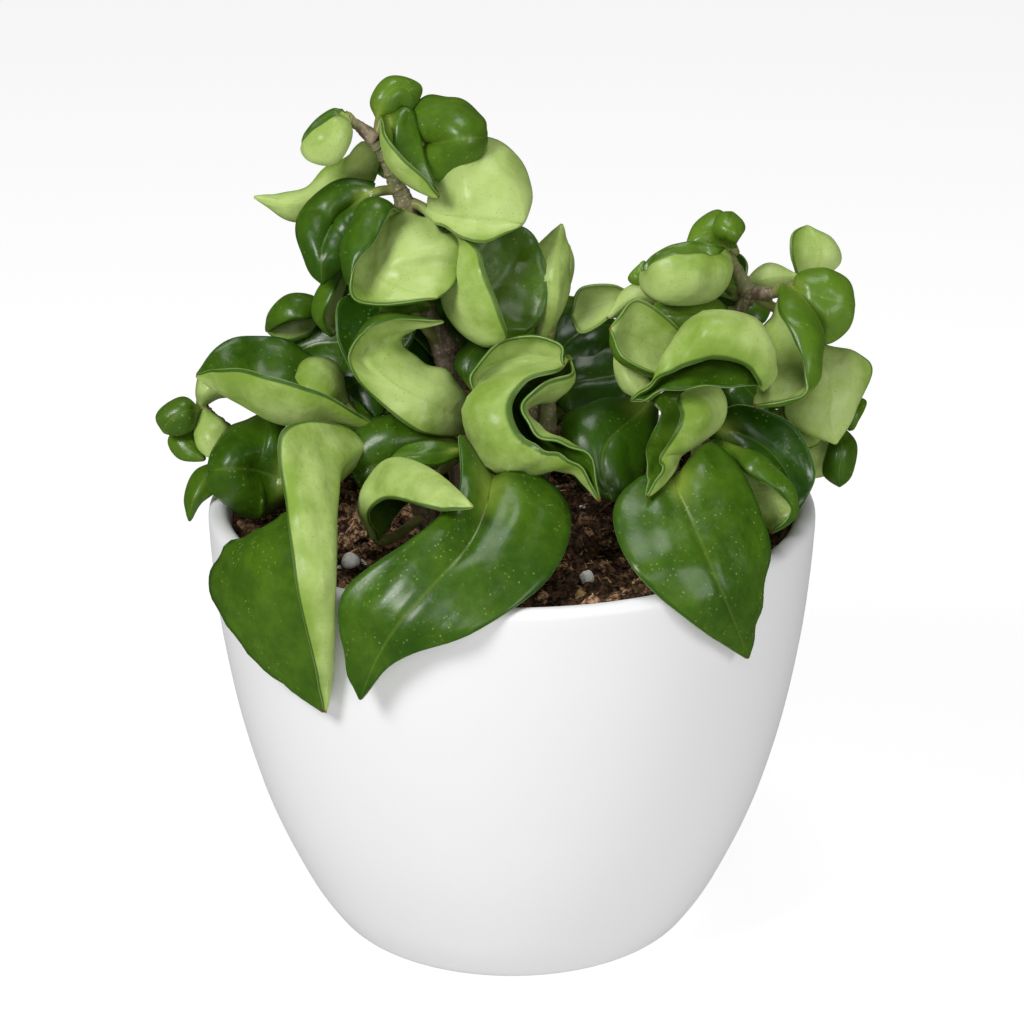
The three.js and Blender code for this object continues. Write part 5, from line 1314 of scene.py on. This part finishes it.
@dataclass(frozen=True)
class Strewn:
    """Loose bits strewn over a ground by a node tree with named inputs and a fixed seed."""

    name: str
    stuff: Stuff
    per_metre2: float
    smallest: tuple
    largest: tuple
    tilt: float
    roundness: int
    seed: int
    jag_scale: float = 900
    jag_depth: float = 1.2

    def tree(self) -> bpy.types.NodeTree:
        """Builds the node tree that ends in realised bits with their material."""
        graph = Graph(bpy.data.node_groups.new(self.name, "GeometryNodeTree"))
        sockets = {
            "Ground": "Geometry", "Density": "Float", "Smallest": "Vector", "Largest": "Vector",
            "Tilt": "Float", "Seed": "Int",
        }
        for name, kind in sockets.items():
            graph.tree.interface.new_socket(name, in_out="INPUT", socket_type="NodeSocket" + kind)
        graph.tree.interface.new_socket("Bits", in_out="OUTPUT", socket_type="NodeSocketGeometry")
        ground, density, smallest, largest, tilt, seed = list(graph.node("NodeGroupInput").outputs)[:6]
        spread = graph.node("GeometryNodeDistributePointsOnFaces", None, {
            "Mesh": ground, "Density": density, "Seed": seed,
        })
        lump = graph.node("GeometryNodeMeshIcoSphere", None, {"Radius": 0.5, "Subdivisions": self.roundness})
        draw = "FunctionNodeRandomValue"
        sizes = graph.node(draw, {"data_type": "FLOAT_VECTOR"}, {"Seed": seed, 0: smallest, 1: largest})
        turns = graph.node(draw, {"data_type": "FLOAT"}, {"Seed": seed, 3: TURN})
        tilts = graph.node(draw, {"data_type": "FLOAT"}, {"Seed": seed, 3: tilt})
        angles = graph.node("ShaderNodeCombineXYZ", None, {"Y": tilts.outputs[1], "Z": turns.outputs[1]})
        copies = graph.node("GeometryNodeInstanceOnPoints", None, {
            "Points": spread.outputs["Points"], "Instance": lump.outputs["Mesh"],
            "Rotation": angles.outputs[0], "Scale": sizes.outputs[0],
        })
        real = graph.node("GeometryNodeRealizeInstances", None, {0: copies.outputs[0]})
        grain = graph.node("ShaderNodeTexNoise", None, {"Scale": self.jag_scale})
        centred = graph.node("ShaderNodeVectorMath", None, {0: grain.outputs["Color"], 1: (-0.5, -0.5, -0.5)})
        jags = graph.node("ShaderNodeVectorMath", {"operation": "SCALE"}, {
            0: centred.outputs[0], "Scale": self.jag_depth * MM,
        })
        moved = graph.node("GeometryNodeSetPosition", None, {
            "Geometry": real.outputs[0], "Offset": jags.outputs[0],
        })
        dressed = graph.node("GeometryNodeSetMaterial", None, {
            "Geometry": moved.outputs[0], "Material": self.stuff.value.make(),
        })
        graph.node("NodeGroupOutput", None, {0: dressed.outputs[0]})
        return graph.tree

    def strew(self, ground: bpy.types.Object) -> bpy.types.Object:
        """Strews the bits over a ground and returns them as one plain mesh object."""
        tree = self.tree()
        strewing = ground.modifiers.new(self.name, "NODES")
        strewing.node_group = tree
        values = {
            "Density": self.per_metre2, "Seed": self.seed, "Tilt": self.tilt,
            "Smallest": [s * MM for s in self.smallest], "Largest": [s * MM for s in self.largest],
        }
        for socket in tree.interface.items_tree:
            if socket.in_out == "INPUT" and socket.name in values:
                strewing[socket.identifier] = values[socket.name]
        graph = bpy.context.evaluated_depsgraph_get()
        mesh = bpy.data.meshes.new_from_object(ground.evaluated_get(graph))
        mesh.name = self.name
        ground.modifiers.remove(strewing)
        return add_object(self.name, mesh)


@dataclass
class Pot:
    """The white glazed pot."""

    sides: int = 160
    foot_steps: int = 7
    foot_bulge: float = 0.6
    wall_steps: int = 60
    lip_steps: int = 14
    inner_steps: int = 12
    hub: float = 0.5

    def foot_point(self, t: float) -> tuple[float, float]:
        """Returns a point of the rounded foot, from 0 on the underside to 1 on the wall."""
        foot, wall = float(pot_radius(0)), float(pot_radius(2 * FOOT_ROUND))
        corner = 2 * t * (1 - t) * (foot + self.foot_bulge)
        return (1 - t) ** 2 * (foot - FOOT_ROUND) + corner + t * t * wall, t * t * 2 * FOOT_ROUND

    def build(self) -> None:
        """Builds the pot by turning its outline round the axis."""
        lip_level = POT_HEIGHT - LIP_ROUND
        lip_middle = float(pot_radius(lip_level)) - LIP_ROUND
        foot = [self.foot_point(t) for t in np.linspace(0, 1, self.foot_steps + 1)[:-1]]
        levels = np.linspace(2 * FOOT_ROUND, lip_level, self.wall_steps)
        outer = [(float(pot_radius(z)), z) for z in levels]
        lip = arc((lip_middle, lip_level), LIP_ROUND, 0, 180, self.lip_steps)[1:-1]
        levels = np.linspace(lip_level, FLOOR_THICK, self.inner_steps)
        inner = [(float(pot_inside(z)), z) for z in levels]
        profile = np.array([(self.hub, 0), *foot, *outer, *lip, *inner, (self.hub, FLOOR_THICK)])
        body = Body()
        body.loft(turned(profile, self.sides))
        finish_piece(body.make("pot_glaze", GlazeFinish().make()), "glaze", "pot")


@dataclass
class PottingMix:
    """The soil with its crumbs, chips and fibres."""

    sides: int = 200
    rings: int = 70
    hub: float = 0.4
    crumb_height: float = 1.5
    lump_seed: int = 11
    lump_shares: tuple = ((7.0, 0.4), (4.0, 0.3), (2.3, 0.26), (1.4, 0.2))
    lump_waves: int = 3
    lump_drop: float = 1.2
    edge_rise: float = 2.2
    edge_span: tuple = (50, 62)
    side_levels: tuple = (FLOOR_THICK + GAP, 40, 70, 90, 95)
    bits: tuple = (
        Strewn("crumbs", Stuff.MIX, 230000, (0.5, 0.5, 0.4), (2.0, 1.8, 1.3), 0.6, 1, 3),
        Strewn("clods", Stuff.CLOD, 15000, (2.4, 2.0, 1.6), (6.0, 5.0, 3.6), 0.9, 2, 4),
        Strewn("chips", Stuff.CHIP, 12000, (2.0, 1.0, 0.4), (5.0, 2.2, 1.0), 0.7, 2, 5),
        Strewn("fibres", Stuff.FIBRE, 60000, (2.0, 0.18, 0.18), (6.0, 0.4, 0.4), 0.9, 1, 8),
        Strewn("pale_crumbs", Stuff.TAN, 2500, (0.6, 0.6, 0.5), (1.6, 1.4, 1.2), 0.6, 2, 9),
        Strewn("white_crumbs", Stuff.PERLITE, 1500, (0.8, 0.8, 0.8), (2.2, 2.0, 1.8), 0.6, 2, 12),
    )

    def height(self, x: np.ndarray, y: np.ndarray) -> np.ndarray:
        """Returns the rough height of the mix at places, in millimetres."""
        rng = np.random.default_rng(self.lump_seed)
        rough = np.zeros_like(x)
        for length, share in self.lump_shares:
            for _ in range(self.lump_waves):
                angle, phase = rng.uniform(0, TURN, 2)
                wave = np.sin(math.pi / length * (x * math.cos(angle) + y * math.sin(angle)) + phase)
                rough += share * (2 * np.abs(wave) - self.lump_drop)
        turn = np.arctan2(y, x)
        ragged = 0.5 + 0.3 * np.sin(5 * turn + 1) + 0.2 * np.sin(13 * turn) + 0.2 * np.sin(29 * turn + 2)
        near_wall = smoothstep(np.hypot(x, y), *self.edge_span)
        return soil_height(x, y) + self.crumb_height * 0.5 * rough + self.edge_rise * ragged * near_wall

    def build(self) -> None:
        """Builds the mix, then strews its loose bits over the top."""
        edge = float(pot_inside(SOIL_LEVEL)) - GAP
        radii = np.linspace(edge, self.hub, self.rings)
        turns = circle(self.sides)
        x, y = radii[:, None] * np.cos(turns), radii[:, None] * np.sin(turns)
        top = np.stack([x, y, self.height(x, y)], -1)
        profile = np.array([(pot_inside(z) - GAP, z) for z in self.side_levels])
        body = Body()
        body.loft(np.vstack([turned(profile, self.sides), top]))
        finish_piece(body.make("potting_mix", Stuff.MIX.value.make()), "soil", "soil")
        sheet = Body()
        sheet.loft(top, ends=False)
        ground = sheet.make("ground", Stuff.MIX.value.make())
        for bits in self.bits:
            finish_piece(bits.strew(ground), "soil")
        bpy.data.objects.remove(ground)


@dataclass
class LooseGrains:
    """The white and tan grains that lie on the mix, each in its node's place."""

    sides: int = 28
    levels: int = 16
    lumps: float = 0.09
    lump_scale: float = 3.5
    lump_waves: int = 4
    cover: float = 1.04

    def ball(self) -> np.ndarray:
        """Returns the rings of a ball of radius one, without its poles."""
        turns = circle(self.sides)
        rise = np.linspace(-0.5, 0.5, self.levels + 2)[1:-1, None] * math.pi
        level = np.cos(rise)
        return np.stack([level * np.cos(turns), level * np.sin(turns), np.sin(rise) + 0 * turns], -1)

    def build(self) -> None:
        """Builds each grain as a lumpy ball."""
        grains = {"perlite_front": Stuff.PERLITE, "perlite_left": Stuff.PERLITE, "bark_front": Stuff.TAN}
        ball = self.ball()
        for seed, (node, stuff) in enumerate(grains.items()):
            low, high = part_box(node)
            middle, half = (low + high) / 2 / MM, (high - low) / 2 / MM
            rng = np.random.default_rng(seed)
            waves = (
                np.sin(ball @ rng.normal(0, self.lump_scale, 3) + rng.uniform(0, 6))
                for _ in range(self.lump_waves)
            )
            lump = 1 + self.lumps * sum(waves) / 2
            body = Body()
            body.loft(np.array(middle) + ball * np.array(half) * self.cover * lump[..., None])
            slot = "perlite" if stuff is Stuff.PERLITE else "bark_chip"
            finish_piece(body.make(node + "_grain", stuff.value.make()), slot, node)


@dataclass
class Shoot:
    """Lays out the leaves that grow along a stem."""

    stalk: float = 4.0
    droop: float = 70.0
    cup: float = 0.35
    width_shares: tuple = (0.8, 1, 0.66, 0)

    def leaf(
        self, foot: np.ndarray, heading: float, climb: float, length: float, width: float, curl: float,
    ) -> Blade:
        """Lays out one leaf.

        Args:
            foot: the place on the stem.
            heading: degrees round the plant, 90 straight back.
            climb: degrees above level at the base.
            length: from base to tip.
            width: across the widest place.
            curl: degrees that each margin turns.

        Returns:
            The leaf's curves.
        """
        turn = math.radians(heading)
        level = np.array([math.cos(turn), math.sin(turn), 0])
        across = np.array([level[1], -level[0], 0])
        steps = len(self.width_shares)
        rib, left, right = [foot + level * self.stalk], [], []
        for i, share in enumerate(self.width_shares):
            slope = math.radians(climb - self.droop * (i + 0.5) / steps)
            along = level * math.cos(slope) + np.array([0, 0, math.sin(slope)])
            rib.append(rib[-1] + along * length / steps)
            if share > 0:
                reach = width / 2 * share
                lift = np.cross(across, along) * reach * math.copysign(self.cup, curl)
                left.append(rib[-1] - across * reach + lift)
                right.append(rib[-1] + across * reach + lift)
        return Blade([foot], rib, left, right, [curl], [curl])

    def leaves(self, points: np.ndarray, table: list) -> list:
        """Returns the leaves of a table along a stem."""
        curve = smooth_curve(points)
        return [self.leaf(curve(np.array([share]))[0], *shape) for share, *shape in table]


def placed_blade(blade: Blade) -> Blade:
    """Returns a front leaf's curves in the part's frame."""
    rails = (place(rail) for rail in (blade.stalk, blade.rib, blade.left, blade.right))
    return Blade(*rails, blade.curl_left, blade.curl_right)


def placed_stem(rows: list) -> np.ndarray:
    """Returns a front stem's course in the part's frame, with its radii."""
    table = np.array(rows, float)
    return np.hstack([place(table[:, :3]), table[:, 3:]])


@dataclass
class Plant:
    """The stems and leaves, in front and at the back."""

    leaf_maker: LeafMaker = field(default_factory=LeafMaker)
    stem_maker: StemMaker = field(default_factory=StemMaker)
    shoot: Shoot = field(default_factory=Shoot)
    tone_spread: tuple = (0.85, 1.15)
    front_seed: int = 20
    rear_seed: int = 80
    shoot_seed: int = 90
    shoot_bark_seed: int = 40
    skin: bpy.types.Material = field(default_factory=lambda: LeafFinish().make())
    bark: bpy.types.Material = field(default_factory=lambda: BarkFinish().make())

    def leaves(self, name: str, blades: list, seed: int, node: str) -> None:
        """Builds leaves as one piece.

        Args:
            name: the piece's name, and the key of its tone.
            blades: its leaves, in the part's frame.
            seed: fixes the leaves' own random numbers.
            node: the node that the piece stands for.
        """
        rng = np.random.default_rng(seed)
        body = Body()
        for blade in blades:
            tone = TONES_AND_SHADE.get(name, PLAIN_TONE) * rng.uniform(*self.tone_spread)
            self.leaf_maker.add(body, blade, tone, rng.uniform())
        finish_piece(body.make(name + "_skin", self.skin), "leaf", node)

    def stems(self, node: str, courses: list, seed: int) -> None:
        """Builds a node's stems as one piece.

        Args:
            node: the node that the piece stands for.
            courses: for each stem, rows of x, y, z and radius in the part's frame.
            seed: fixes the bumps of the bark.
        """
        body = Body()
        for course in courses:
            self.stem_maker.add(body, course[:, :3], course[:, 3], seed)
        finish_piece(body.make(node + "_bark", self.bark), "stem", node)

    def build(self) -> None:
        """Builds every leaf and stem."""
        for seed, (node, leaves) in enumerate(LEAVES.items()):
            self.leaves(node, [placed_blade(leaf) for leaf in leaves], seed + self.front_seed, node)
        for seed, (node, names) in enumerate(STEM_NODES.items()):
            courses = [placed_stem(STEMS[name]) for name in names]
            self.stems(node, courses, seed)
            if node in REAR_LEAVES:
                rear = self.shoot.leaves(courses[0][:, :3], REAR_LEAVES[node])
                self.leaves(node + "_leaf", rear, seed + self.rear_seed, node)
        for seed, (node, shoot) in enumerate(SHOOTS.items()):
            course = np.array(shoot["stem"], float)
            self.stems(node, [course], seed + self.shoot_bark_seed)
            grown = self.shoot.leaves(course[:, :3], shoot["leaves"])
            self.leaves(node + "_leaf", grown, seed + self.shoot_seed, node)


@dataclass(frozen=True)
class Lamp:
    """A soft square light that faces the plant, in metres and watts."""

    name: str
    spot: tuple
    size: float
    power: float

    def build(self) -> None:
        """Adds the light."""
        lamp = bpy.data.lights.new(self.name, "AREA")
        lamp.size, lamp.energy = self.size, self.power
        holder = add_object(self.name, lamp)
        holder.location = self.spot
        aim = Vector((0, 0, 0.12)) - Vector(self.spot)
        holder.rotation_euler = aim.to_track_quat("-Z", "Y").to_euler()


@dataclass
class Studio:
    """The plain pale floor, the soft lights and the camera."""

    floor_size: float = 8.0
    floor_colour: tuple = (0.25, 0.25, 0.25)
    floor_glow: float = 0.85
    world_strength: float = 0.03
    lamps: tuple = (
        Lamp("key", (-0.58, -0.66, 0.78), 0.34, 9.6),
        Lamp("front", (0.12, -0.95, 0.62), 0.35, 1.8),
        Lamp("fill", (0.80, -0.72, 0.50), 0.40, 3.6),
        Lamp("top", (0.05, 0.05, 1.15), 0.45, 4.5),
    )

    def build(self) -> None:
        """Builds the studio."""
        self.floor()
        world = bpy.data.worlds.new("studio")
        world.use_nodes = True
        sky = world.node_tree.nodes["Background"]
        sky.inputs["Color"].default_value = (1, 1, 1, 1)
        sky.inputs["Strength"].default_value = self.world_strength
        bpy.context.scene.world = world
        bpy.context.scene.view_settings.view_transform = "Standard"
        for lamp in self.lamps:
            lamp.build()
        self.camera()

    def floor(self) -> None:
        """Lays the floor."""
        finish = Shader(
            "floor", Roughness=0.9, Specular_IOR_Level=0.0, Base_Color=self.floor_colour,
            Emission_Color=(1, 1, 1), Emission_Strength=self.floor_glow,
        )
        half = self.floor_size / 2
        corners = [(-half, -half, 0), (half, -half, 0), (half, half, 0), (-half, half, 0)]
        mesh = bpy.data.meshes.new("floor")
        mesh.from_pydata(corners, [], [(0, 1, 2, 3)])
        mesh.materials.append(finish.material)
        stage = add_object("floor", mesh)
        stage.visible_glossy = False

    def camera(self) -> None:
        """Sets the camera at the view that the plant is laid out in."""
        lens = bpy.data.cameras.new("view")
        lens.lens = FOCAL_LENGTH
        lens.clip_start, lens.clip_end = 0.01, 50
        holder = add_object("view", lens)
        back = Vector((0, -math.cos(VIEW_TILT), math.sin(VIEW_TILT)))
        holder.location = Vector((0, 0, VIEW_HEIGHT * MM)) + back * VIEW_DISTANCE * MM
        holder.rotation_euler = (-back).to_track_quat("-Z", "Y").to_euler()
        bpy.context.scene.camera = holder


def main() -> None:
    """Builds the looks piece by piece."""
    logging.basicConfig(level=logging.INFO, format="%(name)s: %(message)s")
    Studio().build()
    Pot().build()
    PottingMix().build()
    LooseGrains().build()
    Plant().build()


if __name__ == "__main__":
    main()
